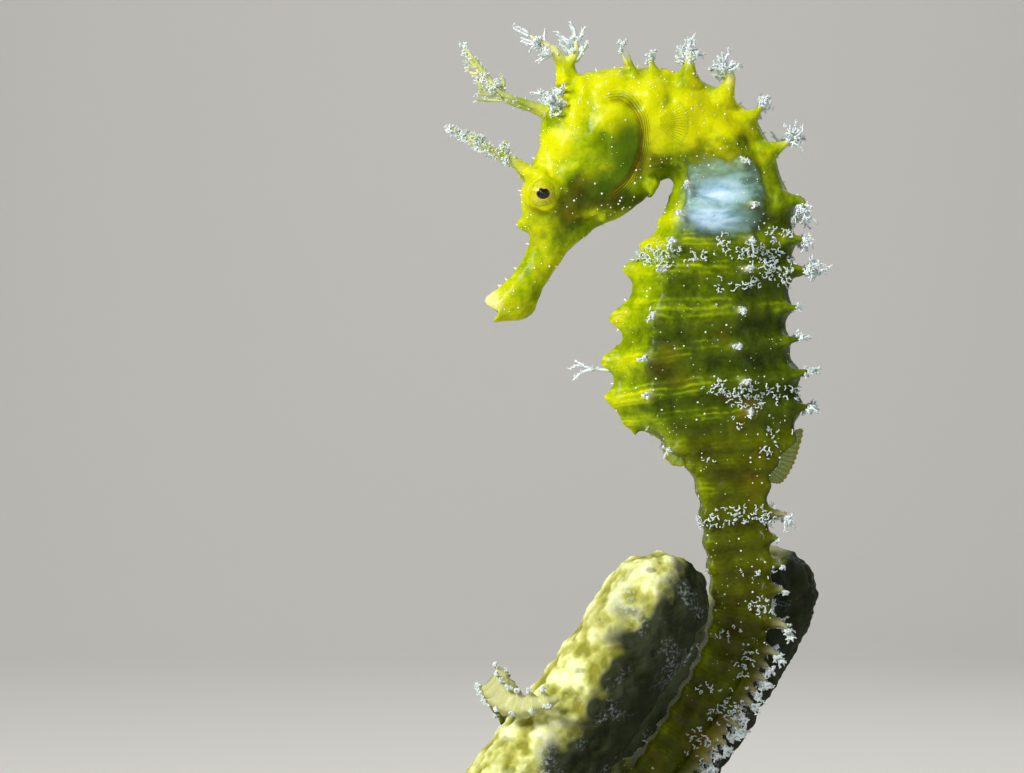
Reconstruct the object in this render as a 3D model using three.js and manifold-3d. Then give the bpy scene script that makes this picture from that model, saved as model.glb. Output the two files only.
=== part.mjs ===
// A female long-snouted seahorse (Hippocampus guttulatus), life size, head bowed and tail
// wrapped round one branch of a small sponge, held over a round base by two steel rods.
// Millimetres, +Z up. The seahorse faces -X and its mid-plane is Y = 0, so its left side
// looks towards -Y. The origin is the centre of the base's underside.

import * as THREE from 'three';
import { mergeVertices } from 'three/addons/utils/BufferGeometryUtils.js';
import Module from 'manifold-3d';

const wasm = await Module();
wasm.setup();

// ---------------------------------------------------------------- driving dimensions

// The stand.
const BASE_RADIUS = 38;
const BASE_HEIGHT = 8;
const BASE_EDGE = 1.2;
const ROD_RADIUS = 1.5;
const ROD_FIT = 0.15;
const ROD_SEAT = 5;

// The sponge: two branches that leave one short stem.
const BRANCH_RADIUS = 6.4;
const REAR_RADIUS = 6.6;
const BRANCH_PATH = [[-0.4, -8.5, 56.9], [-7.4, -8.5, 46.2], [-15.0, -8.5, 36.1], [-19.4, -8.3, 30.0],
  [-22.0, -8.0, 24.2], [-22.4, -7.6, 18.0]];
const BRANCH_SWELL = 0.09;
const BRANCH_GAP = 0.15;
const REAR_PATH = [[14.7, 12.0, 55.8], [9.8, 12.0, 47.6], [4.8, 12.0, 40.6], [0.1, 12.0, 33.7],
  [-6.5, 9.6, 26.6], [-13.2, 4.0, 22.6], [-18.6, -2.8, 21.4]];

// The head, from the snout's tip to the ring of bone at the shoulder. A station gives a point of
// the upper outline, a point of the lower outline (both as x, z) and half the breadth there.
const SNOUT_STATIONS = [
  { upper: [-21.0, 93.2], lower: [-19.4, 90.5], half: 1.5, shape: 'snout' },
  { upper: [-19.3, 94.7], lower: [-15.3, 91.0], half: 2.2, shape: 'snout' },
  { upper: [-17.2, 96.8], lower: [-13.5, 94.6], half: 1.9, shape: 'snout' },
  { upper: [-16.0, 98.8], lower: [-12.3, 96.4], half: 1.75, shape: 'snout' },
  { upper: [-15.4, 101.0], lower: [-10.4, 99.1], half: 2.1, shape: 'snout' },
];
const HEAD_STATIONS = [
  { upper: [-16.0, 102.7], lower: [-8.7, 100.5], half: 2.6, shape: 'skull' },
  { upper: [-16.4, 104.8], lower: [-7.2, 101.9], half: 2.9, shape: 'skull' },
  { upper: [-16.2, 107.6], lower: [-5.5, 102.8], half: 3.2, shape: 'skull' },
  { upper: [-14.5, 111.3], lower: [-3.3, 103.7], half: 3.8, shape: 'skull' },
  { upper: [-13.5, 116.1], lower: [-1.5, 105.0], half: 4.3, shape: 'skull' },
  { upper: [-10.1, 120.3], lower: [-0.4, 106.3], half: 4.6, shape: 'skull' },
  { upper: [-4.9, 121.6], lower: [0.6, 107.4], half: 4.6, shape: 'skull' },
  { upper: [-0.4, 121.7], lower: [1.5, 107.8], half: 4.6, shape: 'trunk' },
];

// The eleven trunk rings, and the first four tail rings that still share the trunk's outline.
const RING_STATIONS = [
  { upper: [4.0, 121.0], lower: [1.9, 107.8], half: 4.4, shape: 'trunk' },
  { upper: [8.8, 118.6], lower: [2.1, 107.3], half: 4.3, shape: 'trunk' },
  { upper: [12.2, 115.9], lower: [1.9, 106.7], half: 4.4, shape: 'trunk' },
  { upper: [14.6, 111.5], lower: [1.5, 105.9], half: 4.7, shape: 'trunk' },
  { upper: [16.7, 105.4], lower: [0.1, 103.0], half: 5.1, shape: 'trunk' },
  { upper: [17.3, 100.5], lower: [-1.4, 99.8], half: 5.5, shape: 'trunk' },
  { upper: [17.1, 96.6], lower: [-3.0, 96.9], half: 5.8, shape: 'trunk' },
  { upper: [16.7, 92.2], lower: [-4.3, 91.0], half: 6.0, shape: 'trunk' },
  { upper: [16.6, 88.3], lower: [-5.2, 85.6], half: 6.0, shape: 'trunk' },
  { upper: [17.8, 84.3], lower: [-5.1, 81.0], half: 5.8, shape: 'trunk' },
  { upper: [18.1, 80.2], lower: [-3.3, 78.0], half: 5.2, shape: 'trunk' },
  { upper: [17.1, 76.1], lower: [1.6, 74.9], half: 4.6, shape: 'tail' },
  { upper: [14.9, 73.1], lower: [3.5, 72.9], half: 4.3, shape: 'tail' },
  { upper: [14.0, 70.4], lower: [4.9, 69.8], half: 4.1, shape: 'tail' },
  { upper: [14.1, 67.4], lower: [5.3, 66.8], half: 4.0, shape: 'tail' },
];

// The tail beyond them: down past the branch, behind it and round to its front. Its own ring
// numbers start in the groove after the third tail ring.
const TAIL_PATH = [[9.6, 0, 68.6], [9.8, 0, 65.6], [10.1, 0, 62.6], [10.4, 0, 59.3], [10.5, 0, 55.6],
  [9.4, 0, 51.1], [7.4, 0, 46.7], [4.8, 0, 42.6], [2.1, 0, 38.5]];

// Its wrapped end, measured on the branch: the turn in degrees (0 is the branch's right side and 90
// behind it), the distance down the branch from its path's second point, and the distance off its axis.
const TAIL_WRAP_POINTS = [[36, 5.0, 14.5], [42, 8.6, 12.9], [57, 10.5, 10.9], [84, 10.1, 9.9],
  [118, 8.7, 9.7], [153, 7.0, 9.6], [180, 6.3, 9.4], [204, 6.9, 9.2], [222, 6.3, 9.0], [234, 4.6, 8.8],
  [244, 2.5, 8.4]];
const TAIL_FIRST = 0.5;
const TAIL_LAST = 34;
const TAIL_CUTS = [TAIL_FIRST, 5.5, 11.5, 16.5, 22.5, TAIL_LAST];
const TAIL_FINE_TO = 18;
const TAIL_CROWDING = 0.35;
const TAIL_START_HALF = 4.4;
const TAIL_END_HALF = 1.2;
const TAIL_BREADTH_RATIO = 0.92;
const TAIL_BLUNT_FROM = 0.94;
const TAIL_WRAP = [0.42, 0.56];

// How deep the grooves between rings are, as the part of the section that is left.
const TRUNK_GROOVE = 0.965;
const TAIL_GROOVE = 0.93;

// Gaps: the thin cuts between lengths, and the clearance of a piece in its seat.
const PART_GAP = 0.1;
const SEAT_GAP = 0.12;

// The eye, and the raised rim of its socket.
const EYE_RADIUS = 1.85;
const EYE_CENTRE = [-13.7, 2.75, 105.9];
const ORBIT_RADIUS = 2.45;
const EYE_OPENING = 1.5;

// The gill cover: an upright lens let into the side of the head.
const GILL_CENTRE = [-5.6, 0, 111.9];
const GILL_HALF = [3.9, 5.35, 5.6];
const GILL_TILT = -0.35;
const GILL_FLOOR = 3.5;

// The mouth: the gape between the lips, as an outline in x, z with its inner corner second, and the
// cut that parts the lower jaw from that corner back to its hinge.
const MOUTH_GAPE = [[-21.6, 93.2], [-19.0, 91.7], [-19.9, 90.0]];
const JAW_HINGE = [-15.1, 92.0];
const JAW_LENGTH = 7.4;

// Spines of the head outside the rings: the one on the nose, and the pair under the throat.
const NOSE_SPINE = { from: [-15.6, 0, 102.4], to: [-17.4, 0, 102.8], root: 0.9, tip: 0.35 };
const THROAT_SPINE = { from: [-0.4, 1.6, 107.6], to: [-0.5, 2.1, 105.5], root: 1.2, tip: 0.6 };

// The coronet, and the fleshy filaments of the head with their radii at root and tip.
const CORONET_BASE = [-10.4, 0, 120.2];
const CORONET_TOP = [-11.2, 0, 122.9];
const CORONET_HALF = [2.1, 1.7];
const CORONET_PRONGS = [[-14.0, 1.3, 124.7], [-17.1, 1.7, 126.7]];
const CORONET_REAR_PRONGS = [[-9.9, 1.2, 125.0], [-10.4, 1.5, 127.2]];
const CROWN_FILAMENT = [[-13.0, 1.7, 115.9], [-16.4, 2.6, 117.2], [-20.0, 3.2, 120.0], [-23.2, 3.4, 123.6]];
const BROW_FILAMENT = [[-15.7, 1.7, 108.9], [-18.6, 2.4, 110.6], [-21.8, 2.9, 112.4], [-25.0, 3.1, 114.1]];
const CROWN_TWIG = [[-19.2, 3.1, 119.3], [-21.2, 3.4, 119.0], [-22.4, 3.5, 117.6]];
const FILAMENT_RADII = [0.95, 0.45];
const TWIG_RADII = [0.4, 0.3];
const PRONG_RADII = [0.8, 0.45];

// Spines of the upper ridges: ring, reach beyond the outline, lean towards the head, root radius.
const UPPER_SPINES = [
  { ring: -1.6, reach: 3.4, lean: 0.4, root: 0.6 },
  { ring: -1, reach: 1.8, lean: 0.0, root: 0.8 },
  { ring: 0, reach: 4.5, lean: 0.6, root: 1.3 },
  { ring: 1, reach: 4.2, lean: 3.2, root: 1.2 },
  { ring: 2, reach: 2.8, lean: 0.2, root: 1.0 },
  { ring: 3, reach: 4.5, lean: 0.8, root: 1.2 },
  { ring: 4, reach: 3.0, lean: -2.4, root: 1.1 },
  { ring: 5, reach: 1.8, lean: -0.2, root: 0.9 },
  { ring: 6, reach: 4.0, lean: 0.9, root: 1.1 },
  { ring: 7, reach: 0.9, lean: 0.0, root: 0.9 },
  { ring: 8, reach: 1.6, lean: 0.2, root: 0.9 },
  { ring: 9, reach: 1.8, lean: 0.1, root: 0.9 },
  { ring: 10, reach: 1.6, lean: -0.4, root: 1.0 },
];
const BENT_SPINE_REACH = 2.5;
const SPINE_SPLAY = 0.6;
const LATERAL_SPINE_RINGS = [5, 6, 7, 8, 9];
const LATERAL_SPINE_REACH = 1.0;
const LOWER_SPINE_RINGS = [5, 6, 7, 8, 9, 11];
const LOWER_SPINE_REACH = 0.8;
const KEEL_SPINES = [
  { ring: 6, reach: 1.0 },
  { ring: 7, reach: 1.5 },
  { ring: 8, reach: 1.4 },
  { ring: 9, reach: 1.2 },
];

// Spines of the tail's upper ridges: every fourth is long, the lower ones form an even fringe, and
// they are short where the tail is wrapped.
const TAIL_SPINE_REACH = [1.7, 3.4, 0.9, 1.3];
const TAIL_FRINGE_FROM = 6;
const TAIL_FRINGE_REACH = 2.2;
const TAIL_SPINE_SHORT = 0.5;
const TAIL_SPINE_FADE = [0.4, 0.58];
const TAIL_SPINE_DENSE = 17;
const TAIL_SPINE_LAST = 30;

// Fins, as flat outlines in x, z.
const FIN_THICKNESS = 0.6;
const DORSAL_FIN = [[16.9, 77.3], [18.1, 77.4], [17.6, 75.0], [16.8, 72.8], [15.5, 70.9], [13.5, 70.8]];
const DORSAL_FIN_ROOT = [[15.6, 76.9], [12.5, 71.2]];
const ANAL_FIN = [[1.1, 76.0], [1.0, 74.2], [2.4, 72.9], [4.2, 73.1], [4.0, 75.4]];
const PECTORAL_ROOT = [-0.1, 114.3];
const PECTORAL_RADIUS = 4.1;
const PECTORAL_SPREAD = [-0.75, 0.7];
const PECTORAL_FLARE = 0.25;

const COLOURS = {
  head: 0xe0d414,
  neck: 0xd2c812,
  trunk: 0x9ca010,
  tail: 0x6e7406,
  filament: 0xc9cf9a,
  fin: 0x8f8f3a,
  eye: 0xb9a23a,
  sponge: 0xc8b83c,
  wood: 0x5a3822,
  steel: 0xb8bcc0,
};

// ---------------------------------------------------------------- solids and meshes

/** A closed geometry as a manifold solid. */
function solidOf(geometry) {
  const bare = geometry.clone();
  bare.deleteAttribute('normal');
  bare.deleteAttribute('uv');
  const merged = mergeVertices(bare, 1e-4);
  return new wasm.Manifold(new wasm.Mesh({
    numProp: 3,
    vertProperties: new Float32Array(merged.attributes.position.array),
    triVerts: new Uint32Array(merged.index.array),
  }));
}

/** A manifold solid as a geometry. */
function geometryOf(solid) {
  const mesh = solid.getMesh();
  const geometry = new THREE.BufferGeometry();
  geometry.setAttribute('position', new THREE.BufferAttribute(mesh.vertProperties, 3));
  geometry.setIndex(new THREE.BufferAttribute(mesh.triVerts, 1));
  return geometry;
}

/** Joins solids into one. */
function joined(first, ...others) {
  return others.reduce((sum, solid) => sum.add(solid), first);
}

/** A closed skin over rows of points: each row is a flat ring, and a fan closes each end. */
function loft(rows) {
  const count = rows[0].length;
  const points = rows.flat();
  const index = [];
  for (let i = 0; i < rows.length - 1; i++) {
    for (let j = 0; j < count; j++) {
      const a = i * count + j;
      const b = i * count + (j + 1) % count;
      index.push(a, b, b + count, a, b + count, a + count);
    }
  }
  const last = (rows.length - 1) * count;
  for (let j = 1; j < count - 1; j++) {
    index.push(j + 1, j, 0, last + j, last + j + 1, last);
  }
  if (enclosedVolume(points, index) < 0) {
    for (let k = 0; k < index.length; k += 3) {
      [index[k], index[k + 1]] = [index[k + 1], index[k]];
    }
  }
  const geometry = new THREE.BufferGeometry().setFromPoints(points);
  geometry.setIndex(index);
  return geometry;
}

/** The signed volume inside a closed set of triangles, negative where they face inwards. */
function enclosedVolume(points, index) {
  let volume = 0;
  const cross = new THREE.Vector3();
  for (let k = 0; k < index.length; k += 3) {
    cross.crossVectors(points[index[k + 1]], points[index[k + 2]]);
    volume += points[index[k]].dot(cross) / 6;
  }
  return volume;
}

const vector = (point) => new THREE.Vector3(...point);
const curveThrough = (points) => new THREE.CatmullRomCurve3(points.map(vector), false, 'catmullrom', 0.5);

/** A ring of points of the given radius round a centre, square to a direction. */
function circleRow(centre, direction, radius, sides) {
  const across = new THREE.Vector3(0, 1, 0).cross(direction);
  if (across.lengthSq() < 1e-6) {
    across.set(1, 0, 0);
  }
  across.normalize();
  const over = new THREE.Vector3().crossVectors(direction, across).normalize();
  return Array.from({ length: sides }, (_, j) => {
    const angle = 2 * Math.PI * j / sides;
    return centre.clone()
      .addScaledVector(across, radius * Math.cos(angle))
      .addScaledVector(over, radius * Math.sin(angle));
  });
}

/** A tapering round limb along a path, its radius given by radiusAt(u) for u from 0 to 1. */
function limb(path, radiusAt, sides, steps) {
  const curve = curveThrough(path);
  const rows = [];
  for (let i = 0; i <= steps; i++) {
    const u = i / steps;
    rows.push(circleRow(curve.getPoint(u), curve.getTangent(u), radiusAt(u), sides));
  }
  return solidOf(loft(rows));
}

/** A flat plate with the given outline in x, z, centred on y. */
function plate(outline, thickness, y = 0) {
  const shape = new THREE.Shape(outline.map(([x, z]) => new THREE.Vector2(x, z)));
  const geometry = new THREE.ExtrudeGeometry(shape, { depth: thickness, bevelEnabled: false });
  geometry.rotateX(Math.PI / 2);
  geometry.translate(0, y + thickness / 2, 0);
  return solidOf(geometry);
}

/** A path turned over to the other side of the body. side is -1 for left and 1 for right. */
const toSide = (path, side) => path.map(([x, y, z]) => [x, side * y, z]);

// ---------------------------------------------------------------- the body's sections

/** The half outline of a section, from back to belly, as parts of its half depth and breadth. */
function halfOutline(upper, middle, lower, swell) {
  const corners = [[1, 0], upper, middle, lower, [-1, 0]];
  const outline = [corners[0]];
  for (let k = 1; k < corners.length; k++) {
    const [p, q] = corners[k];
    const [r, s] = corners[k - 1];
    outline.push([(p + r) / 2 * swell, (q + s) / 2 * swell], [p, q]);
  }
  return outline;
}

const OUTLINES = {
  snout: halfOutline([0.71, 0.71], [0, 1], [-0.71, 0.71], 1.08),
  skull: halfOutline([0.8, 0.6], [0.1, 1], [-0.72, 0.58], 1.06),
  trunk: halfOutline([0.9, 0.48], [0.35, 1], [-0.62, 0.8], 1.01),
  tail: halfOutline([0.97, 0.86], [0, 0.96], [-0.97, 0.86], 1.0),
};
const SQUARE_OUTLINE = OUTLINES.tail.filter((_, k) => k % 2 === 0);

/** The full ring of points of a section placed in space. */
function sectionRow(section, scale = 1) {
  const { centre, up, side, depth, breadth } = section;
  const outline = section.drawn ?? section.outline;
  const place = ([p, q], hand) => centre.clone()
    .addScaledVector(up, p * depth * scale)
    .addScaledVector(side, hand * q * breadth * scale);
  const right = outline.map((point) => place(point, 1));
  const left = outline.slice(1, -1).reverse().map((point) => place(point, -1));
  return [...right, ...left];
}

const BODY_STATIONS = [...SNOUT_STATIONS, ...HEAD_STATIONS, ...RING_STATIONS];
const FIRST_RING = SNOUT_STATIONS.length + HEAD_STATIONS.length;
const LAST_STATION = BODY_STATIONS.length - 1;
const upperCurve = curveThrough(BODY_STATIONS.map(({ upper: [x, z] }) => [x, 0, z]));
const lowerCurve = curveThrough(BODY_STATIONS.map(({ lower: [x, z] }) => [x, 0, z]));
const halfCurve = curveThrough(BODY_STATIONS.map(({ half }) => [half, 0, 0]));

/** The section of the head, neck and trunk at a station number, whole or not. */
function bodySection(station) {
  const u = station / LAST_STATION;
  const upper = upperCurve.getPoint(u);
  const lower = lowerCurve.getPoint(u);
  const index = Math.min(Math.floor(station), LAST_STATION - 1);
  const blend = station - index;
  const from = OUTLINES[BODY_STATIONS[index].shape];
  const to = OUTLINES[BODY_STATIONS[index + 1].shape];
  return {
    centre: upper.clone().add(lower).multiplyScalar(0.5),
    up: upper.clone().sub(lower).normalize(),
    side: new THREE.Vector3(0, 1, 0),
    depth: upper.distanceTo(lower) / 2,
    breadth: halfCurve.getPoint(u).x,
    outline: from.map(([p, q], k) => [p + (to[k][0] - p) * blend, q + (to[k][1] - q) * blend]),
  };
}

/** A body section without the points half-way between the two upper and the two lower ridges. */
function ridgedSection(station) {
  const section = bodySection(station);
  return { ...section, drawn: section.outline.filter((_, k) => k !== 1 && k !== 7) };
}

/** A point given by its turn round the front branch, its distance down it and off its axis. */
function onBranch([turn, along, off]) {
  const origin = vector(BRANCH_PATH[1]);
  const axis = vector(BRANCH_PATH[2]).sub(origin).normalize();
  const right = new THREE.Vector3(-axis.z, 0, axis.x);
  const angle = THREE.MathUtils.degToRad(turn);
  return origin
    .addScaledVector(axis, along)
    .addScaledVector(right, off * Math.cos(angle))
    .add(new THREE.Vector3(0, off * Math.sin(angle), 0));
}

const tailCurve = curveThrough([...TAIL_PATH, ...TAIL_WRAP_POINTS.map((point) => onBranch(point).toArray())]);
const branchCurve = curveThrough(BRANCH_PATH);
const branchPoints = branchCurve.getPoints(80);

/** The part of the tail's length at which a ring lies: rings crowd towards the tip. */
function ringPlace(ring) {
  const share = (ring - TAIL_FIRST) / (TAIL_LAST - TAIL_FIRST);
  return (1 + TAIL_CROWDING) * share - TAIL_CROWDING * share ** 2;
}

/** The section of the tail at a ring number: square, its back turned away from the branch. */
function tailSection(ring) {
  const u = ringPlace(ring);
  const centre = tailCurve.getPointAt(u);
  const tangent = tailCurve.getTangentAt(u);
  const inPlane = new THREE.Vector3(0, 1, 0).cross(tangent).negate();
  const nearest = branchPoints.reduce((best, point) =>
    (point.distanceTo(centre) < best.distanceTo(centre) ? point : best));
  const outwards = centre.clone().sub(nearest).normalize();
  const up = inPlane.lerp(outwards, THREE.MathUtils.smoothstep(u, ...TAIL_WRAP));
  up.addScaledVector(tangent, -up.dot(tangent)).normalize();
  const blunt = Math.max(0, (u - TAIL_BLUNT_FROM) / (1 - TAIL_BLUNT_FROM));
  const depth = THREE.MathUtils.lerp(TAIL_START_HALF, TAIL_END_HALF, u) * Math.sqrt(1 - 0.9 * blunt ** 2);
  return {
    centre,
    up,
    side: tangent.clone().cross(up).normalize(),
    depth,
    breadth: depth * TAIL_BREADTH_RATIO,
    outline: SQUARE_OUTLINE,
  };
}

/** A length of body between two places, with a groove half-way between its rings. */
function lengthOfBody(sectionAt, from, to, groove, step = 0.5) {
  const scaleAt = (place) => (Math.abs(place % 1 - 0.5) < 0.25 ? groove : 1);
  const rows = [sectionRow(sectionAt(from), scaleAt(from))];
  for (let place = Math.floor(from / step) * step + step; place < to - 0.1; place += step) {
    if (place - from > 0.1) {
      rows.push(sectionRow(sectionAt(place), scaleAt(place)));
    }
  }
  rows.push(sectionRow(sectionAt(to), scaleAt(to)));
  return solidOf(loft(rows));
}

/** A spine on a section, from just inside a point of its outline out to reach beyond it. */
function spine(section, [p, q], hand, reach, lean, root, splay = 1) {
  const forwards = new THREE.Vector3().crossVectors(section.side, section.up);
  if (forwards.dot(section.forwards) < 0) {
    forwards.negate();
  }
  const foot = section.centre.clone()
    .addScaledVector(section.up, p * section.depth)
    .addScaledVector(section.side, hand * q * section.breadth);
  const outwards = section.up.clone().multiplyScalar(p)
    .addScaledVector(section.side, hand * q * splay).normalize();
  const start = foot.clone().addScaledVector(outwards, -0.6 * root);
  const tip = foot.clone().addScaledVector(outwards, reach).addScaledVector(forwards, lean);
  const bend = foot.clone().addScaledVector(outwards, 0.45 * reach).addScaledVector(forwards, 0.15 * lean);
  const rows = [circleRow(start, outwards, root, 4), circleRow(tip, outwards, Math.max(0.3 * root, 0.25), 4)];
  if (reach > BENT_SPINE_REACH) {
    rows.splice(1, 0, circleRow(bend, outwards, 0.5 * root, 4));
  }
  return solidOf(loft(rows));
}

/** A body section with the direction towards the head, for what grows from it. */
function ringSection(ring) {
  const section = bodySection(FIRST_RING + ring);
  const ahead = bodySection(FIRST_RING + ring - 0.5).centre;
  return { ...section, forwards: ahead.sub(section.centre) };
}

/** A tail section with the direction towards the head. */
function tailRingSection(ring) {
  return { ...tailSection(ring), forwards: tailCurve.getTangentAt(ringPlace(ring)).negate() };
}

const CORNER = { upper: 2, lateral: 4, lower: 6 };
const SQUARE_UPPER = 1;

/** All spines of the head, neck and trunk whose ring lies in a range. */
function bodySpines(from, to) {
  const within = (ring) => ring > from && ring < to;
  const spines = [];
  for (const { ring, reach, lean, root } of UPPER_SPINES.filter((entry) => within(entry.ring))) {
    const section = ringSection(ring);
    const corner = section.outline[CORNER.upper];
    for (const hand of [-1, 1]) {
      spines.push(spine(section, corner, hand, reach + (1 - corner[0]) * section.depth, lean, root,
        SPINE_SPLAY));
    }
  }
  for (const hand of [-1, 1]) {
    for (const ring of LATERAL_SPINE_RINGS.filter(within)) {
      const section = ringSection(ring);
      spines.push(spine(section, section.outline[CORNER.lateral], hand, LATERAL_SPINE_REACH, 0, 0.8));
    }
    for (const ring of LOWER_SPINE_RINGS.filter(within)) {
      const section = ringSection(ring);
      spines.push(spine(section, section.outline[CORNER.lower], hand, LOWER_SPINE_REACH, 0, 0.8));
    }
  }
  for (const { ring, reach } of KEEL_SPINES.filter((entry) => within(entry.ring))) {
    spines.push(spine(ringSection(ring), [-1, 0], 1, reach, 0.2, 1.1));
  }
  return spines;
}

/** The paired upper spines of the tail whose ring lies in a range. */
function tailSpines(from, to) {
  const spines = [];
  for (let ring = Math.ceil(from + 0.3); ring < to - 0.3; ring++) {
    const sparse = ring > TAIL_SPINE_DENSE && ring % 2 === 1;
    if (ring >= 1 && ring <= TAIL_SPINE_LAST && !sparse) {
      const section = tailRingSection(ring);
      const fade = THREE.MathUtils.smoothstep(ringPlace(ring), ...TAIL_SPINE_FADE);
      const own = TAIL_SPINE_REACH[ring % TAIL_SPINE_REACH.length];
      const full = ring < TAIL_FRINGE_FROM ? own : Math.max(own, TAIL_FRINGE_REACH);
      const reach = THREE.MathUtils.lerp(full, TAIL_SPINE_SHORT, fade);
      const root = Math.min(0.9, 0.4 * section.depth);
      for (const hand of [-1, 1]) {
        spines.push(spine(section, section.outline[SQUARE_UPPER], hand, reach, -0.25 * reach, root,
          SPINE_SPLAY));
      }
    }
  }
  return spines;
}

// ---------------------------------------------------------------- pieces of the head

/** An upright lens for a gill cover, grown by a clearance, or its seat in the head. */
function gillLens(side, clearance) {
  const lens = new THREE.SphereGeometry(1, 14, 8);
  lens.scale(...GILL_HALF.map((half) => half + clearance));
  lens.rotateY(GILL_TILT);
  lens.translate(...GILL_CENTRE);
  const floor = GILL_FLOOR - clearance;
  const outer = new THREE.BoxGeometry(40, 10, 40);
  outer.translate(GILL_CENTRE[0], side * (floor + 5), GILL_CENTRE[2]);
  return solidOf(lens).intersect(solidOf(outer));
}

/** A ball at an eye's centre. */
function eyeBall(side, radius, detail) {
  const ball = new THREE.IcosahedronGeometry(radius, detail);
  ball.translate(EYE_CENTRE[0], side * EYE_CENTRE[1], EYE_CENTRE[2]);
  return solidOf(ball);
}

/** The opening through which an eye shows. */
function eyeWindow(side) {
  const depth = 4;
  const window = new THREE.CylinderGeometry(EYE_OPENING, EYE_OPENING, depth, 12);
  window.translate(EYE_CENTRE[0], side * (EYE_CENTRE[1] + depth / 2), EYE_CENTRE[2]);
  return solidOf(window);
}

/** A prong or filament: tapering, with a blunt tip. */
function feeler(path, [rootRadius, tipRadius]) {
  return limb(path, (u) => THREE.MathUtils.lerp(rootRadius, tipRadius, u), 4, 3);
}

/** The seat of a filament: its root, grown by the clearance and sunk a little deeper. */
function seatOf(path) {
  const root = vector(path[0]);
  const inwards = root.clone().sub(vector(path[1])).normalize();
  const deep = root.clone().addScaledVector(inwards, SEAT_GAP);
  const rows = [deep, vector(path[1])].map((centre) =>
    circleRow(centre, inwards, FILAMENT_RADII[0] + SEAT_GAP, 4));
  return solidOf(loft(rows));
}

/** The coronet: a low five-sided crown with two prongs in front and two behind. */
function coronet(clearance = 0) {
  const foot = vector(CORONET_BASE);
  const top = vector(CORONET_TOP);
  const axis = top.clone().sub(foot).normalize();
  const row = (centre, size) => circleRow(centre, axis, 1, 10).map((point) => {
    const offset = point.sub(centre);
    offset.x *= CORONET_HALF[0] * size + clearance;
    offset.y *= CORONET_HALF[1] * size + clearance;
    return offset.add(centre);
  });
  const sunk = foot.clone().addScaledVector(axis, -clearance);
  const waist = foot.clone().lerp(top, 0.6);
  return solidOf(loft([row(sunk, 1), row(waist, 0.72), row(top, 0.85)]));
}

/** A path that starts inside the coronet and follows the given points. */
const fromCoronet = (points, side) => toSide([[CORONET_TOP[0], 0.5, CORONET_TOP[2] - 1], ...points], side);

// ---------------------------------------------------------------- fins

/** The outline of a pectoral fin: a fan round its root. */
function pectoralOutline() {
  const [x, z] = PECTORAL_ROOT;
  const [low, high] = PECTORAL_SPREAD;
  const outline = [[x - 0.6, z - 0.9], [x - 0.6, z + 0.9]];
  for (let k = 8; k >= 0; k--) {
    const angle = THREE.MathUtils.lerp(low, high, k / 8);
    outline.push([x + PECTORAL_RADIUS * Math.cos(angle), z + PECTORAL_RADIUS * Math.sin(angle)]);
  }
  return outline;
}

/** A pectoral fin: the fan, flared away from the body about its root. */
function pectoralFin(side) {
  const shape = new THREE.Shape(pectoralOutline().map(([x, z]) => new THREE.Vector2(x, z)));
  const geometry = new THREE.ExtrudeGeometry(shape, { depth: FIN_THICKNESS, bevelEnabled: false });
  geometry.rotateX(Math.PI / 2);
  geometry.translate(-PECTORAL_ROOT[0], FIN_THICKNESS / 2, 0);
  geometry.rotateZ(side * PECTORAL_FLARE);
  const shoulder = bodySection(FIRST_RING - 1).breadth;
  geometry.translate(PECTORAL_ROOT[0], side * (shoulder + 0.25), 0);
  return solidOf(geometry);
}

// ---------------------------------------------------------------- sponge and stand

/** A branch of sponge: a round-ended limb, a little thicker half-way down. */
function spongeLimb(path, radius, clearance = 0) {
  const curve = curveThrough(path);
  const sides = 12;
  const rows = [];
  const capSteps = 3;
  const bodySteps = 7;
  const startTangent = curve.getTangent(0);
  for (let k = 0; k < capSteps; k++) {
    const angle = (k + 0.35) / (capSteps + 0.35) * Math.PI / 2;
    const centre = curve.getPoint(0).addScaledVector(startTangent, -radius * Math.cos(angle));
    rows.push(circleRow(centre, startTangent, radius * Math.sin(angle) + clearance, sides));
  }
  for (let k = 0; k <= bodySteps; k++) {
    const u = k / bodySteps;
    const swelling = 1 + BRANCH_SWELL * Math.sin(Math.PI * u);
    rows.push(circleRow(curve.getPoint(u), curve.getTangent(u), radius * swelling + clearance, sides));
  }
  return solidOf(loft(rows));
}

/** An upright rod between two heights. */
function rod([x, y], bottom, top, radius) {
  const geometry = new THREE.CylinderGeometry(radius, radius, top - bottom, 16);
  geometry.rotateX(Math.PI / 2);
  geometry.translate(x, y, (bottom + top) / 2);
  return solidOf(geometry);
}

/** The turned base, with its edges eased. */
function baseDisc() {
  const profile = [
    [0, 0],
    [BASE_RADIUS - BASE_EDGE / 2, 0],
    [BASE_RADIUS, BASE_EDGE / 2],
    [BASE_RADIUS, BASE_HEIGHT - BASE_EDGE],
    [BASE_RADIUS - BASE_EDGE, BASE_HEIGHT],
    [0, BASE_HEIGHT],
  ];
  const geometry = new THREE.LatheGeometry(profile.map(([x, z]) => new THREE.Vector2(x, z)), 36);
  geometry.rotateX(Math.PI / 2);
  return solidOf(geometry);
}

// ---------------------------------------------------------------- the model

const group = new THREE.Group();

/** Adds a solid to the model as one named mesh. */
function add(name, solid, color, roughness = 0.55, metalness = 0) {
  const material = new THREE.MeshStandardMaterial({ color, roughness, metalness });
  const mesh = new THREE.Mesh(geometryOf(solid), material);
  mesh.name = name;
  group.add(mesh);
}

const SIDES = { left: -1, right: 1 };
const half = PART_GAP / 2;

/** The station step that covers half a gap of the given size at a station. */
function stationStep(station) {
  const here = bodySection(station).centre;
  const ahead = bodySection(Math.min(station + 0.1, LAST_STATION)).centre;
  return half * 0.1 / Math.max(here.distanceTo(ahead), 0.05);
}

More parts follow.
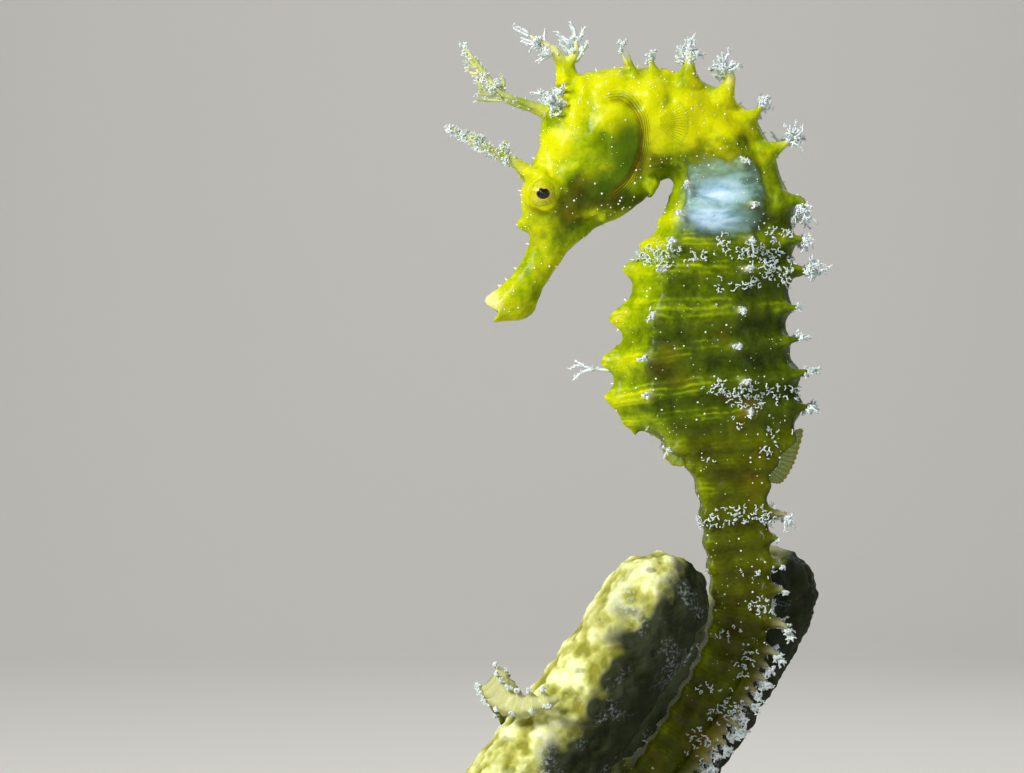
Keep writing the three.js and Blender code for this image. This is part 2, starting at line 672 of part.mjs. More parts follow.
/** A named length of the head, neck or trunk between two ring numbers, with its spines. */
function bodyLength(from, to, groove) {
  const start = FIRST_RING + from;
  const end = FIRST_RING + to;
  const solid =
    lengthOfBody(ridgedSection, start + stationStep(start), end - stationStep(end), groove);
  return joined(solid, ...bodySpines(from, to));
}

const tailLength = tailCurve.getLength();

/** A named length of the tail between two ring numbers, with its spines. */
function tailPiece(from, to) {
  const step = half / tailLength * TAIL_LAST;
  const rowStep = from < TAIL_FINE_TO ? 0.5 : 1;
  const end = to < TAIL_LAST ? to - step : to;
  const solid = lengthOfBody(tailSection, from + step, end, TAIL_GROOVE, rowStep);
  return joined(solid, ...tailSpines(from, to));
}

// Snout and lower jaw.
const mouthCorner = MOUTH_GAPE[1];
const jawAngle = Math.atan2(JAW_HINGE[1] - mouthCorner[1], JAW_HINGE[0] - mouthCorner[0]);

/** A block that fills everything below the line of the mouth, shifted by an offset. */
function belowMouth(offset) {
  const block = new THREE.BoxGeometry(20, 20, 6);
  block.translate(2, 0, -3 + offset);
  block.rotateY(-jawAngle);
  block.translate(mouthCorner[0], 0, mouthCorner[1]);
  return solidOf(block);
}

const snoutEnd = SNOUT_STATIONS.length - 1;
const snoutWhole = lengthOfBody(bodySection, 0, snoutEnd - stationStep(snoutEnd), 1)
  .subtract(plate(MOUTH_GAPE, 2 * JAW_LENGTH));
const jawBlock = solidOf(new THREE.BoxGeometry(JAW_LENGTH, 20, 6)
  .translate(JAW_HINGE[0] - JAW_LENGTH / 2, 0, JAW_HINGE[1]));
const jaw = snoutWhole.intersect(belowMouth(-half)).intersect(jawBlock.translate([-PART_GAP, 0, 0]));
add('snout', snoutWhole.subtract(belowMouth(half).intersect(jawBlock)), COLOURS.head);
add('lower_jaw', jaw, COLOURS.head);

// Head, with its sockets, seats and head spines.
let head = lengthOfBody(bodySection, snoutEnd + stationStep(snoutEnd), FIRST_RING - 0.5, 1);
const headSpine = ({ from, to, root, tip }, side) =>
  limb(toSide([from, to], side), (u) => THREE.MathUtils.lerp(root, tip, u), 5, 1);
head = joined(head, headSpine(NOSE_SPINE, 1), headSpine(THROAT_SPINE, -1), headSpine(THROAT_SPINE, 1),
  ...bodySpines(-3, -0.5));
for (const side of Object.values(SIDES)) {
  const orbit = eyeBall(side, ORBIT_RADIUS, 2);
  head = head.add(orbit);
}
for (const side of Object.values(SIDES)) {
  head = head.subtract(eyeBall(side, EYE_RADIUS + SEAT_GAP, 2)).subtract(eyeWindow(side));
  head = head.subtract(gillLens(side, SEAT_GAP));
  head = head.subtract(seatOf(toSide(BROW_FILAMENT, side)));
  head = head.subtract(seatOf(toSide(CROWN_FILAMENT, side)));
}
head = head.subtract(coronet(SEAT_GAP));
add('head', head, COLOURS.head);

for (const [name, side] of Object.entries(SIDES)) {
  add(`eye_${name}`, eyeBall(side, EYE_RADIUS, 2), COLOURS.eye, 0.1);
  add(`gill_cover_${name}`, gillLens(side, 0), COLOURS.head);
  add(`brow_filament_${name}`, feeler(toSide(BROW_FILAMENT, side), FILAMENT_RADII), COLOURS.filament);
  const twig = feeler(toSide(CROWN_TWIG, side), TWIG_RADII);
  const stem = feeler(toSide(CROWN_FILAMENT, side), FILAMENT_RADII);
  add(`crown_filament_${name}`, stem.add(twig), COLOURS.filament);
}

const prongs = [CORONET_PRONGS, CORONET_REAR_PRONGS].flatMap((points) =>
  [-1, 1].map((side) => feeler(fromCoronet(points, side), PRONG_RADII)));
add('coronet', joined(coronet(), ...prongs), COLOURS.head);

// Neck, trunk and tail.
const fins = {
  dorsal: plate([...DORSAL_FIN, DORSAL_FIN_ROOT[1], DORSAL_FIN_ROOT[0]], FIN_THICKNESS),
  dorsalSeat: plate([...DORSAL_FIN, DORSAL_FIN_ROOT[1], DORSAL_FIN_ROOT[0]].map(([x, z], k) =>
    (k > 5 ? [x - SEAT_GAP, z] : [x, z])), FIN_THICKNESS + 2 * SEAT_GAP),
  anal: plate(ANAL_FIN, FIN_THICKNESS),
  analSeat: plate(ANAL_FIN, FIN_THICKNESS + 2 * SEAT_GAP).add(
    plate(ANAL_FIN.map(([x, z]) => [x + SEAT_GAP, z + SEAT_GAP]), FIN_THICKNESS + 2 * SEAT_GAP)),
};
add('neck', bodyLength(-0.5, 3.5, TRUNK_GROOVE), COLOURS.neck);
add('trunk_upper', bodyLength(3.5, 6.5, TRUNK_GROOVE), COLOURS.trunk);
const finSeats = [fins.dorsalSeat, fins.analSeat];
const seated = (solid) => finSeats.reduce((rest, seat) => rest.subtract(seat), solid);
add('trunk_lower', seated(bodyLength(6.5, 10.5, TRUNK_GROOVE)), COLOURS.trunk);
add('tail_1', seated(bodyLength(10.5, 13.5, TAIL_GROOVE)), COLOURS.tail);
for (let k = 0; k < TAIL_CUTS.length - 1; k++) {
  add(`tail_${k + 2}`, tailPiece(TAIL_CUTS[k], TAIL_CUTS[k + 1]), COLOURS.tail);
}
add('dorsal_fin', fins.dorsal, COLOURS.fin);
add('anal_fin', fins.anal, COLOURS.fin);
for (const [name, side] of Object.entries(SIDES)) {
  add(`pectoral_fin_${name}`, pectoralFin(side), COLOURS.fin);
}

// The sponge, with a blind hole in its stem and one in its rear branch.
const STEM_ROD = [BRANCH_PATH.at(-1)[0], BRANCH_PATH.at(-1)[1]];
const REAR_ROD = [REAR_PATH[3][0], REAR_PATH[3][1]];
const stemTop = BRANCH_PATH.at(-1)[2] + ROD_SEAT;
const rearTop = REAR_PATH[3][2] - 2;
const holes = [rod(STEM_ROD, 0, stemTop + ROD_FIT, ROD_RADIUS + ROD_FIT),
  rod(REAR_ROD, 0, rearTop + ROD_FIT, ROD_RADIUS + ROD_FIT)];
const drilled = (solid) => holes.reduce((rest, hole) => rest.subtract(hole), solid);
const frontBranch = spongeLimb(BRANCH_PATH, BRANCH_RADIUS);
const rearBranch = spongeLimb(REAR_PATH, REAR_RADIUS);
add('sponge_front_branch', drilled(frontBranch), COLOURS.sponge, 0.9);
add('sponge_rear_branch', drilled(rearBranch.subtract(spongeLimb(BRANCH_PATH, BRANCH_RADIUS, BRANCH_GAP))),
  COLOURS.sponge, 0.9);

// The stand.
const baseHoles = [STEM_ROD, REAR_ROD].map((place) =>
  rod(place, BASE_HEIGHT - ROD_SEAT - ROD_FIT, BASE_HEIGHT + 5, ROD_RADIUS + ROD_FIT));
add('stand_base', baseHoles.reduce((rest, hole) => rest.subtract(hole), baseDisc()), COLOURS.wood);
add('stand_rod_stem', rod(STEM_ROD, BASE_HEIGHT - ROD_SEAT, stemTop, ROD_RADIUS), COLOURS.steel, 0.3, 1);
add('stand_rod_rear', rod(REAR_ROD, BASE_HEIGHT - ROD_SEAT, rearTop, ROD_RADIUS), COLOURS.steel, 0.3, 1);

export default group;
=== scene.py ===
"""A life-size long-snouted seahorse on a branch of sponge, built round its solid frame.

Shapes are worked out in millimetres and turned to metres when a mesh is made. +Z is up, the
seahorse faces -X and its mid-plane is Y = 0, so its left side looks towards -Y.
"""

import itertools
import math

import bpy
import numpy as np
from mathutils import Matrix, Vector


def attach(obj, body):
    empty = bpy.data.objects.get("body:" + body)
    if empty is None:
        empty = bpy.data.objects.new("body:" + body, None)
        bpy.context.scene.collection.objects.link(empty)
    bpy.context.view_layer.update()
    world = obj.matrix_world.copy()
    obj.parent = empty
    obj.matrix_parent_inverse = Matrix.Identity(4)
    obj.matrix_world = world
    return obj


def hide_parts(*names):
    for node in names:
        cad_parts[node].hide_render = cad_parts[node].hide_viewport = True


bl_info = {
    "name": "Long-snouted Seahorse",
    "version": (1, 0, 0),
    "blender": (4, 5, 0),
    "location": "3D View > Sidebar > Seahorse",
    "description": "Skin, eyes, fins, tufts, sponge and stand of a life-size seahorse model",
    "category": "Add Mesh",
}

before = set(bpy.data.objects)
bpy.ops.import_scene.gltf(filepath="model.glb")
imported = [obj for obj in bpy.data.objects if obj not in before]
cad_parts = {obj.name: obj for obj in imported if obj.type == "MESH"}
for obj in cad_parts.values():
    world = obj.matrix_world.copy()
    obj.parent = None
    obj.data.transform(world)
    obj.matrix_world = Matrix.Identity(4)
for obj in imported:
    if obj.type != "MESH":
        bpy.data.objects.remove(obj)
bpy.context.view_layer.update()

MM = 0.001
UP = np.array([0.0, 0.0, 1.0])
RIGHT = np.array([0.0, 1.0, 0.0])
SIDES = {"left": -1, "right": 1}

# -------------------------------- driving dimensions, in mm

# The head, neck and trunk: upper outline x, z; lower outline x, z; half breadth.
SNOUT_STATIONS = [
    (-21.0, 93.2, -19.4, 90.5, 1.5),
    (-19.3, 94.7, -15.3, 91.0, 2.2),
    (-17.2, 96.8, -13.5, 94.6, 1.9),
    (-16.0, 98.8, -12.3, 96.4, 1.75),
    (-15.4, 101.0, -10.4, 99.1, 2.1),
]
HEAD_STATIONS = [
    (-16.0, 102.7, -8.7, 100.5, 2.6),
    (-16.4, 104.8, -7.2, 101.9, 2.9),
    (-16.2, 107.6, -5.5, 102.8, 3.2),
    (-14.5, 111.3, -3.3, 103.7, 3.8),
    (-13.5, 116.1, -1.5, 105.0, 4.3),
    (-10.1, 120.3, -0.4, 106.3, 4.6),
    (-4.9, 121.6, 0.6, 107.4, 4.6),
    (-0.4, 121.7, 1.5, 107.8, 4.6),
]
RING_STATIONS = [
    (4.0, 121.0, 1.9, 107.8, 4.4),
    (8.8, 118.6, 2.1, 107.3, 4.3),
    (12.2, 115.9, 1.9, 106.7, 4.4),
    (14.6, 111.5, 1.5, 105.9, 4.7),
    (16.7, 105.4, 0.1, 103.0, 5.1),
    (17.3, 100.5, -1.4, 99.8, 5.5),
    (17.1, 96.6, -3.0, 96.9, 5.8),
    (16.7, 92.2, -4.3, 91.0, 6.0),
    (16.6, 88.3, -5.2, 85.6, 6.0),
    (17.8, 84.3, -5.1, 81.0, 5.8),
    (18.1, 80.2, -3.3, 78.0, 5.2),
    (17.1, 76.1, 1.6, 74.9, 4.6),
    (14.9, 73.1, 3.5, 72.9, 4.3),
    (14.0, 70.4, 4.9, 69.8, 4.1),
    (14.1, 67.4, 5.3, 66.8, 4.0),
]
BODY_STATIONS = SNOUT_STATIONS + HEAD_STATIONS + RING_STATIONS
STATION_SHAPES = ["snout"] * 5 + ["skull"] * 7 + ["trunk"] * 12 + ["tail"] * 4
FIRST_RING = len(SNOUT_STATIONS) + len(HEAD_STATIONS)
TAIL_JOIN_RING = 13.5

# The sponge's two branches.
BRANCH_RADIUS = 6.4
REAR_RADIUS = 6.6
BRANCH_SWELL = 0.09
# The room left for knobbles inside the branch's radius, and how far they may rise.
KNOBBLE_ROOM = 0.35
KNOBBLE_RISE = 0.42
SPONGE_SIDES = 250
# The way the sponge's side with painted shade faces, and the heights between which the painted shadow laid
# over a whole branch thins out.
SPONGE_SHADOWED_SIDE = (0.8, 0.0, -0.6)
SHADOW_TOP = (52.0, 62.0)
BRANCH_PATH = [(-0.4, -8.5, 56.9), (-7.4, -8.5, 46.2), (-15.0, -8.5, 36.1), (-19.4, -8.3, 30.0),
               (-22.0, -8.0, 24.2), (-22.4, -7.6, 18.0)]
REAR_PATH = [(14.7, 12.0, 55.8), (9.8, 12.0, 47.6), (4.8, 12.0, 40.6), (0.1, 12.0, 33.7),
             (-6.5, 9.6, 26.6), (-13.2, 4.0, 22.6), (-18.6, -2.8, 21.4)]

# The tail: its free length, then its wrap as (turn round the branch in degrees, distance down the
# branch, distance off its axis).
TAIL_PATH = [(9.6, 0, 68.6), (9.8, 0, 65.6), (10.1, 0, 62.6), (10.4, 0, 59.3), (10.5, 0, 55.6),
             (9.4, 0, 51.1), (7.4, 0, 46.7), (4.8, 0, 42.6), (2.1, 0, 38.5)]
TAIL_WRAP_POINTS = [(36, 5.0, 14.5), (42, 8.6, 12.9), (57, 10.5, 10.9), (84, 10.1, 9.9),
                    (118, 8.7, 9.7), (153, 7.0, 9.6), (180, 6.3, 9.4), (204, 6.9, 9.2),
                    (222, 6.3, 9.0), (234, 4.6, 8.8), (244, 2.5, 8.4)]
TAIL_FIRST = 0.5
TAIL_LAST = 34
TAIL_CROWDING = 0.35
TAIL_HALF = (4.4, 1.2)
TAIL_BREADTH_RATIO = 0.92
TAIL_BLUNT_FROM = 0.94
TAIL_WRAP = (0.42, 0.56)
# Heights under which skin may belong to the free tail, and under which it does if it lies near.
TAIL_TOP = 70
TAIL_SURE = 66

# Corners of a section from back to belly, as parts of its half depth and half breadth, and how
# far the faces between them bulge.
CORNERS = {
    "snout": ([(1, 0), (0.71, 0.71), (0, 1), (-0.71, 0.71), (-1, 0)], 1.08),
    "skull": ([(1, 0), (0.8, 0.6), (0.1, 1), (-0.72, 0.58), (-1, 0)], 1.06),
    "trunk": ([(1, 0), (0.9, 0.48), (0.35, 1), (-0.62, 0.8), (-1, 0)], 1.01),
    "tail": ([(1, 0), (0.97, 0.86), (0, 0.96), (-0.97, 0.86), (-1, 0)], 1.0),
}
# Which of a section's 16 outline points bear the upper spines and the keel's.
UPPER_CORNER = 2
KEEL_CORNER = 8
TRUNK_GROOVE = 0.035
TAIL_GROOVE = 0.07
SKIN_DEPTH = 0.12
# Rows and sides of the body's and the tail's tubes.
BODY_GRID = (560, 96)
TAIL_GRID = (640, 64)

EYE_RADIUS = 1.85
EYE_CENTRE = (-13.7, 2.75, 105.9)
# The eye socket: its rim's radius, distance out from the eye's centre and thickness, and the ball
# of flesh that it stands on.
ORBIT_RADIUS = 1.88
ORBIT_OUT = 0.68
ORBIT_THICKNESS = 0.35
MOUND_RADIUS = 2.35
MOUND_IN = 0.95
PUPIL_RADIUS = 0.8
GILL_CENTRE = (-5.9, 111.5)
GILL_HALF = (3.7, 5.6)
GILL_TILT = 0.3
GILL_REAR = 0.5
WHORL_RATE = 100.0  # radians of the whorls' wave from the gill cover's middle to its edge

# The pale patch on the flank and its milky cores, then how yellow the skin is at certain rings: partly the
# skin's own colour, partly painted shade that darkens the trunk and tail away from the head.
PATCH_CENTRE = (7.9, 106.0)
PATCH_HALF = (5.3, 5.0)
PATCH_CORES = [((7.3, 106.1), (3.4, 1.7)), ((6.6, 103.1), (3.6, 1.5))]
TONE_RINGS = (-14, -9, -5, -1, 2, 4, 6, 8, 10, 13, 18, 26, 34, 40, 47)
TONE_LEVELS = (0.86, 0.78, 0.84, 0.88, 0.84, 0.5, 0.31, 0.28, 0.28, 0.21, 0.17, 0.17, 0.28, 0.48, 0.56)
GREEN_CENTRE = (-4.0, 109.6)
GREEN_HALF = (5.0, 6.4)

# Darker places on each side of the head and neck, partly the skin's own olive and green and partly painted
# shade on the cheek, under the gill cover and at the snout's base: centre x, z; half width and height; how
# dark.
HEAD_SHADES = [
    ((-8.3, 112.6), (2.4, 3.4), 0.26),
    ((-11.4, 103.5), (2.2, 1.4), 0.36),
    ((-3.8, 109.6), (3.0, 4.4), 0.42),
    ((-9.2, 106.0), (3.2, 2.4), 0.5),
    ((-3.6, 105.2), (3.8, 1.5), 0.5),
    ((1.6, 109.1), (2.8, 2.6), 0.5),
    ((-10.2, 101.5), (2.6, 2.0), 0.36),
    ((-9.0, 108.9), (1.6, 1.2), 0.2),
    ((8.0, 112.2), (2.6, 1.2), 0.3),
    ((3.2, 119.2), (0.8, 1.6), 0.2),
    ((-13.5, 93.8), (1.2, 1.6), 0.12),
]

# Soft lumps on each side of the head and neck: centre x, z; half width and height; how high.
HEAD_LUMPS = [
    ((-0.7, 118.0), (1.9, 1.7), 0.5),
    ((1.2, 114.6), (2.4, 1.3), 0.42),
    ((3.9, 112.6), (1.6, 1.6), 0.32),
    ((4.6, 116.8), (1.8, 1.8), 0.38),
    ((-5.4, 119.6), (1.8, 0.9), 0.25),
    ((-11.3, 111.6), (1.0, 1.1), 0.22),
    ((-9.9, 114.8), (0.9, 1.2), 0.2),
    ((-13.9, 110.3), (0.6, 0.9), 0.25),
    ((-12.9, 106.0), (1.2, 0.6), 0.18),
    ((-7.6, 105.9), (1.4, 0.8), 0.15),
    ((-1.6, 109.8), (0.6, 1.8), -0.22),
    ((1.5, 117.2), (0.5, 1.2), -0.25),
    ((-2.5, 116.7), (1.1, 0.6), -0.2),
    ((8.0, 113.0), (1.8, 2.0), 0.25),
]

# Ridges on each side of the head: start and end x, z; width; how high.
HEAD_RIDGES = [
    ((-10.3, 103.1), (-7.3, 103.8), 0.45, 0.28),
    ((-7.3, 103.8), (-6.3, 103.2), 0.45, 0.25),
    ((-9.2, 121.6), (-8.8, 118.1), 0.55, 0.30),
    ((-11.2, 121.2), (-11.6, 117.3), 0.55, 0.25),
    ((-10.2, 121.0), (-10.3, 117.8), 0.35, -0.2),
    ((-15.6, 108.6), (-13.6, 108.4), 0.5, 0.3),
    ((-16.0, 101.6), (-14.6, 97.0), 0.5, 0.12),
    ((-12.9, 101.5), (-13.0, 96.8), 0.5, 0.12),
    ((-8.3, 109.6), (-10.0, 107.2), 0.5, -0.15),
]

# Spines of the upper ridges: ring, reach, lean to the head, root radius, tuft size, tuft's hang.
UPPER_SPINES = [
    (-1.6, 3.4, 0.4, 0.6, 0.35, 0.0),
    (-1, 1.8, 0.0, 0.8, 0.5, 0.0),
    (0, 4.5, 0.6, 1.3, 1.25, 0.0),
    (1, 4.2, 3.2, 1.2, 1.15, 0.0),
    (2, 2.8, 0.2, 1.0, 0.8, 0.0),
    (3, 4.5, 0.8, 1.2, 1.0, 0.0),
    (4, 3.0, -2.4, 1.1, 1.2, 0.8),
    (5, 1.8, -0.2, 0.9, 0.7, 0.3),
    (6, 4.0, 0.9, 1.1, 1.0, 0.0),
    (7, 0.9, 0.0, 0.9, 0.35, 0.0),
    (8, 1.6, 0.2, 0.9, 0.5, 0.0),
    (9, 1.8, 0.1, 0.9, 0.6, 0.0),
    (10, 1.6, -0.4, 1.0, 0.7, 0.3),
]
SPINE_SPLAY = 0.6
# Blunt spines with the smallest tufts: corner of the section, rings, reach, root radius.
NODULES = [(4, (3, 4, 5, 6, 7, 8, 9, 10), 1.1, 0.75), (6, (3, 4, 5, 6, 7, 8, 9, 11), 0.9, 0.65)]
KEEL_THINNESS = 0.4
# Spines of the belly's keel: ring, reach, root radius.
KEEL_SPINES = [(5, 0.6, 1.2), (6, 1.0, 1.5), (7, 1.5, 1.6), (8, 1.4, 1.9), (9, 0.9, 2.4), (10, 0.4, 1.5)]
# The tail's upper spines: reaches that repeat ring by ring, longer and closer from a ring on.
TAIL_SPINE_REACH = (1.7, 3.4, 0.9, 1.3)
TAIL_FRINGE_FROM = 6
TAIL_FRINGE_REACH = 2.9
TAIL_SPINE_FADE = (0.42, 0.6)
TAIL_SPINE_DENSE = 17
TAIL_SPINE_LAST = 33

# Limbs of flesh on each side of the head: points, radii, sides of the tube.
CORONET_LIMBS = [
    ([(-10.4, 0.0, 119.6), (-10.9, 0.0, 121.5), (-11.2, 0.0, 122.6)], (2.0, 1.35, 1.3), 14),
    ([(-11.3, 0.4, 121.9), (-12.4, 0.9, 123.6), (-14.0, 1.3, 124.7), (-15.6, 1.6, 125.9)],
     (0.85, 0.45, 0.3, 0.2), 14),
    ([(-10.6, 0.4, 121.8), (-9.7, 1.0, 123.2), (-9.7, 1.2, 124.6), (-10.1, 1.4, 125.9)],
     (0.8, 0.5, 0.32, 0.2), 14),
]
THROAT_SPINE = ([(-0.4, 1.6, 107.6), (-0.5, 2.1, 105.6)], (1.1, 0.4), 12)
BROW_ARCH = ([(-15.2, 1.5, 108.4), (-14.3, 1.9, 108.2), (-13.1, 2.3, 107.9)], (1.3, 1.1, 0.8), 14)
JAW_SPINE = ([(-6.9, 1.4, 103.6), (-6.1, 1.9, 102.5)], (0.7, 0.22), 12)
NOSE_SPINE = ([(-14.6, 0, 102.2), (-16.3, 0, 102.5), (-17.0, 0, 102.6)], (1.35, 0.85, 0.5), 14)
FILAMENT_ROOT_RADII = (1.5, 0.85, 0.5)
SKIN_STEP = 0.15
# The lines on which the solid frame's filaments run; the skin grows out along their roots.
FILAMENT_LINES = [[(-13.0, 1.7, 115.9), (-16.4, 2.6, 117.2)], [(-15.7, 1.7, 108.9), (-18.6, 2.4, 110.6)]]
# The head's filaments, stem first: the points of each twig and its radii.
FILAMENTS = {
    "crown_filament": [
        ([(-13.0, 1.7, 115.9), (-14.6, 2.2, 116.6), (-17.0, 2.7, 117.4), (-18.8, 3.0, 118.2),
          (-19.8, 3.2, 119.3), (-21.0, 3.3, 120.9), (-22.3, 3.4, 122.5), (-23.3, 3.4, 123.6)],
         (0.8, 0.5, 0.4, 0.36, 0.34, 0.3, 0.24, 0.14)),
        ([(-19.0, 3.1, 117.9), (-20.4, 3.3, 117.9), (-21.9, 3.4, 118.0)], (0.24, 0.2, 0.12)),
        ([(-19.4, 3.1, 118.5), (-21.0, 3.3, 118.7), (-21.8, 3.4, 120.2)], (0.22, 0.18, 0.12)),
        ([(-18.8, 3.0, 118.2), (-18.4, 3.1, 119.4), (-19.0, 3.2, 120.5)], (0.22, 0.18, 0.1)),
        ([(-21.6, 3.3, 121.2), (-22.4, 3.5, 121.3), (-23.1, 3.6, 122.1)], (0.2, 0.16, 0.1)),
    ],
    "brow_filament": [
        ([(-15.7, 1.7, 108.9), (-17.0, 2.1, 109.9), (-18.6, 2.4, 110.7), (-20.4, 2.8, 111.6),
          (-22.2, 2.9, 112.5), (-23.8, 3.0, 113.4), (-25.0, 3.1, 114.1)],
         (0.85, 0.55, 0.44, 0.38, 0.32, 0.26, 0.14)),
        ([(-20.2, 2.7, 111.5), (-21.4, 3.1, 112.7), (-22.6, 3.3, 113.2)], (0.24, 0.2, 0.1)),
        ([(-18.4, 2.4, 110.6), (-18.6, 2.9, 111.8), (-18.0, 3.1, 112.2)], (0.22, 0.18, 0.1)),
    ],
}
# The mouth: its corner, the directions of its two lip lines, and soft pushes of the lips: where,
# which way, how wide.
MOUTH_CORNER = (-19.0, 91.7)
LIP_LINES = [(-2.0, 1.2), (-0.6, -1.07)]
LIP_ROLLS = [((-20.4, 94.0), (-0.2, 0.3), 0.7), ((-19.4, 90.6), (-0.35, -0.3), 0.7),
             ((-19.3, 93.4), (0.15, -0.2), 0.5)]

# The share of a tufted spine that is flesh, the size of a nodule's tuft, and the scale of all.
SPINE_STALK = 0.66
NODULE_TUFT = 0.38
TUFT_SCALE = 1.4
# Twigs for each mm of a filament, and the side of a twig's patch on the unwrap.
CRUST_PER_MM = {"crown_filament": 3, "brow_filament": 12}
PATCH_UV = 0.0015

# Tufts of the head: place, direction, size, hang.
HEAD_TUFTS = [
    ((-14.4, 1.4, 124.7), (-0.9, 0.2, -0.3), 0.5, 0.3),
    ((-13.4, 1.1, 123.9), (-0.6, 0.5, -0.6), 0.8, 0.6),
    ((-9.8, 1.3, 124.9), (0.7, 0.2, 0.5), 0.35, 0.0),
    ((-9.9, 1.1, 123.8), (-0.7, 0.3, 0.8), 0.55, 0.0),
    ((-12.4, 2.6, 116.4), (0.1, 0.5, 0.9), 1.1, 0.0),
    ((-12.9, 2.2, 117.2), (-0.35, 0.4, 0.9), 1.3, 0.0),
    ((-11.6, 2.3, 118.4), (-0.3, 0.3, 0.9), 0.6, 0.0),
    ((-23.2, 3.4, 123.6), (-0.5, 0.0, 0.6), 0.32, 0.0),
    ((-19.4, 3.1, 118.9), (-0.9, 0.1, -0.2), 0.7, 0.3),
    ((-20.9, 3.2, 120.7), (-0.3, 0.3, 0.9), 0.5, 0.0),
    ((-18.9, 3.0, 118.8), (0.1, 0.2, 0.9), 0.5, 0.0),
    ((-25.0, 3.1, 114.1), (-0.8, 0.0, 0.4), 0.35, 0.0),
    ((-23.3, 3.0, 113.1), (-0.3, 0.3, 0.8), 0.45, 0.0),
    ((-21.4, 2.8, 112.1), (-0.2, 0.4, 0.8), 0.5, 0.0),
    ((-20.0, 2.6, 111.3), (0.2, 0.4, -0.8), 0.45, 0.4),
    ((-18.2, 2.3, 110.3), (0.3, 0.2, 0.9), 0.45, 0.0),
]

# Twigs of the coronet and one on the keel: points from root to tip, mirrored on the other side.
CORONET_TWIGS = [
    [(-12.9, 0.9, 123.7), (-13.5, 1.1, 124.9), (-13.4, 1.2, 126.0)],
    [(-14.0, 1.3, 124.7), (-15.2, 1.5, 124.6), (-16.4, 1.6, 125.0)],
    [(-15.4, 1.6, 125.6), (-16.3, 1.7, 126.1), (-17.2, 1.8, 126.5)],
    [(-12.4, 0.9, 123.4), (-13.4, 1.4, 122.9), (-14.2, 1.6, 122.3)],
    [(-9.7, 1.1, 124.2), (-10.9, 1.3, 124.9), (-12.0, 1.4, 125.8)],
    [(-9.7, 1.2, 124.6), (-9.0, 1.4, 125.3), (-8.7, 1.5, 126.2)],
    [(-9.7, 1.2, 124.9), (-9.9, 1.4, 126.0), (-10.4, 1.5, 127.0)],
    [(-9.6, 1.0, 123.4), (-8.7, 1.2, 123.8), (-8.2, 1.2, 124.6)],
    [(-10.2, 0.9, 123.2), (-11.0, 1.2, 123.9), (-11.6, 1.3, 124.7)],
    [(-9.6, 0.9, 122.4), (-9.0, 1.3, 123.2), (-8.9, 1.4, 124.0)],
    [(-5.4, 0.0, 84.6), (-7.8, 0.2, 84.9), (-9.8, 0.3, 85.8)],
    [(-7.2, 0.15, 84.8), (-8.8, 0.4, 84.4), (-10.0, 0.5, 83.4)],
    [(-8.2, 0.2, 85.0), (-9.4, -0.2, 85.2), (-10.4, -0.4, 84.7)],
]

# Clumps of small cirri: centre x, z; half width and height; how dense.
CIRRI_CLUMPS = [
    (0.6, 98.6, 3.0, 1.3, 0.6), (4.6, 98.3, 2.2, 0.8, 0.6), (8.2, 99.6, 1.0, 1.3, 0.9),
    (12.0, 98.9, 3.2, 1.1, 0.9), (13.8, 97.0, 2.6, 1.8, 0.9), (12.4, 95.6, 2.0, 0.9, 0.8),
    (8.3, 94.6, 1.6, 0.8, 0.8), (14.6, 100.8, 1.8, 1.0, 0.6),
    (7.2, 82.5, 1.6, 1.3, 0.9), (11.2, 81.6, 2.8, 1.4, 1.0), (15.0, 81.9, 2.6, 1.0, 0.7),
    (13.7, 76.2, 0.9, 2.2, 0.6), (9.6, 78.4, 0.8, 0.8, 0.6), (6.0, 73.9, 0.8, 0.8, 0.6),
    (10.0, 67.2, 3.6, 1.0, 0.85), (7.0, 66.6, 1.4, 1.0, 0.7), (13.4, 66.8, 1.6, 1.1, 0.7),
    (11.8, 60.5, 2.4, 0.8, 0.5), (12.6, 55.8, 2.0, 1.3, 0.7), (8.6, 53.0, 1.6, 0.7, 0.4),
    (11.0, 49.6, 1.8, 1.6, 0.7), (6.5, 46.2, 1.4, 1.0, 0.4), (8.6, 43.6, 2.2, 1.6, 0.8),
    (5.0, 39.6, 2.2, 1.4, 0.6),
]

# White warts: how many, by ring; the widths and heights of their rows, as parts of the radius.
WART_RINGS = [-13, -9, 2, 5, 14, 30]
WART_SHARES = [0.2, 0.65, 0.6, 0.3, 0.35, 0.2]
WART_WIDTHS = [0.9, 1.0, 0.7, 0.2]
WART_HEIGHTS = [-0.5, 0.15, 0.75, 0.95]
NIB_HEIGHT = 3.6
# Places on the profile with a tall white nib: x, z.
NIBS = [(-16.6, 106.5), (-15.0, 99.8), (-16.6, 96.9), (-17.9, 95.5), (-18.8, 94.7), (-12.9, 95.5),
        (-9.9, 98.9), (-6.3, 102.5), (-14.9, 110.6), (-2.0, 122.0), (-7.2, 121.6), (10.5, 117.2),
        (13.4, 113.6), (15.9, 107.6), (-2.6, 96.4), (-3.4, 93.0), (-5.0, 89.0), (-4.6, 83.0)]

# Fins seen from the side: root line and edge, x, z; then the pectoral fin's fan about its root.
DORSAL_ROOT = [(15.4, 77.0), (14.2, 74.5), (12.7, 71.4)]
DORSAL_FIN = [(16.9, 77.3), (18.1, 77.4), (17.6, 75.0), (16.8, 72.8), (15.5, 70.9), (14.0, 70.9)]
ANAL_ROOT = [(2.6, 76.0), (4.4, 75.2)]
ANAL_FIN = [(1.1, 76.0), (1.0, 74.2), (2.4, 72.9), (4.2, 73.1)]
PECTORAL_ROOT = (-0.1, 114.3)
PECTORAL_RADIUS = 4.1
PECTORAL_SPREAD = (-0.75, 0.7)
PECTORAL_FLARE = 0.25
PECTORAL_OUT = 4.85
PECTORAL_CLEAR = 0.22
FIN_HALF = 0.06
FIN_RIDGE = 0.11
# The number of rays, and how much of a ray's tint the membrane beside it holds.
FIN_RAYS = {"dorsal": 18, "anal": 5, "pectoral": 14}
MEMBRANE_TINT = 0.72

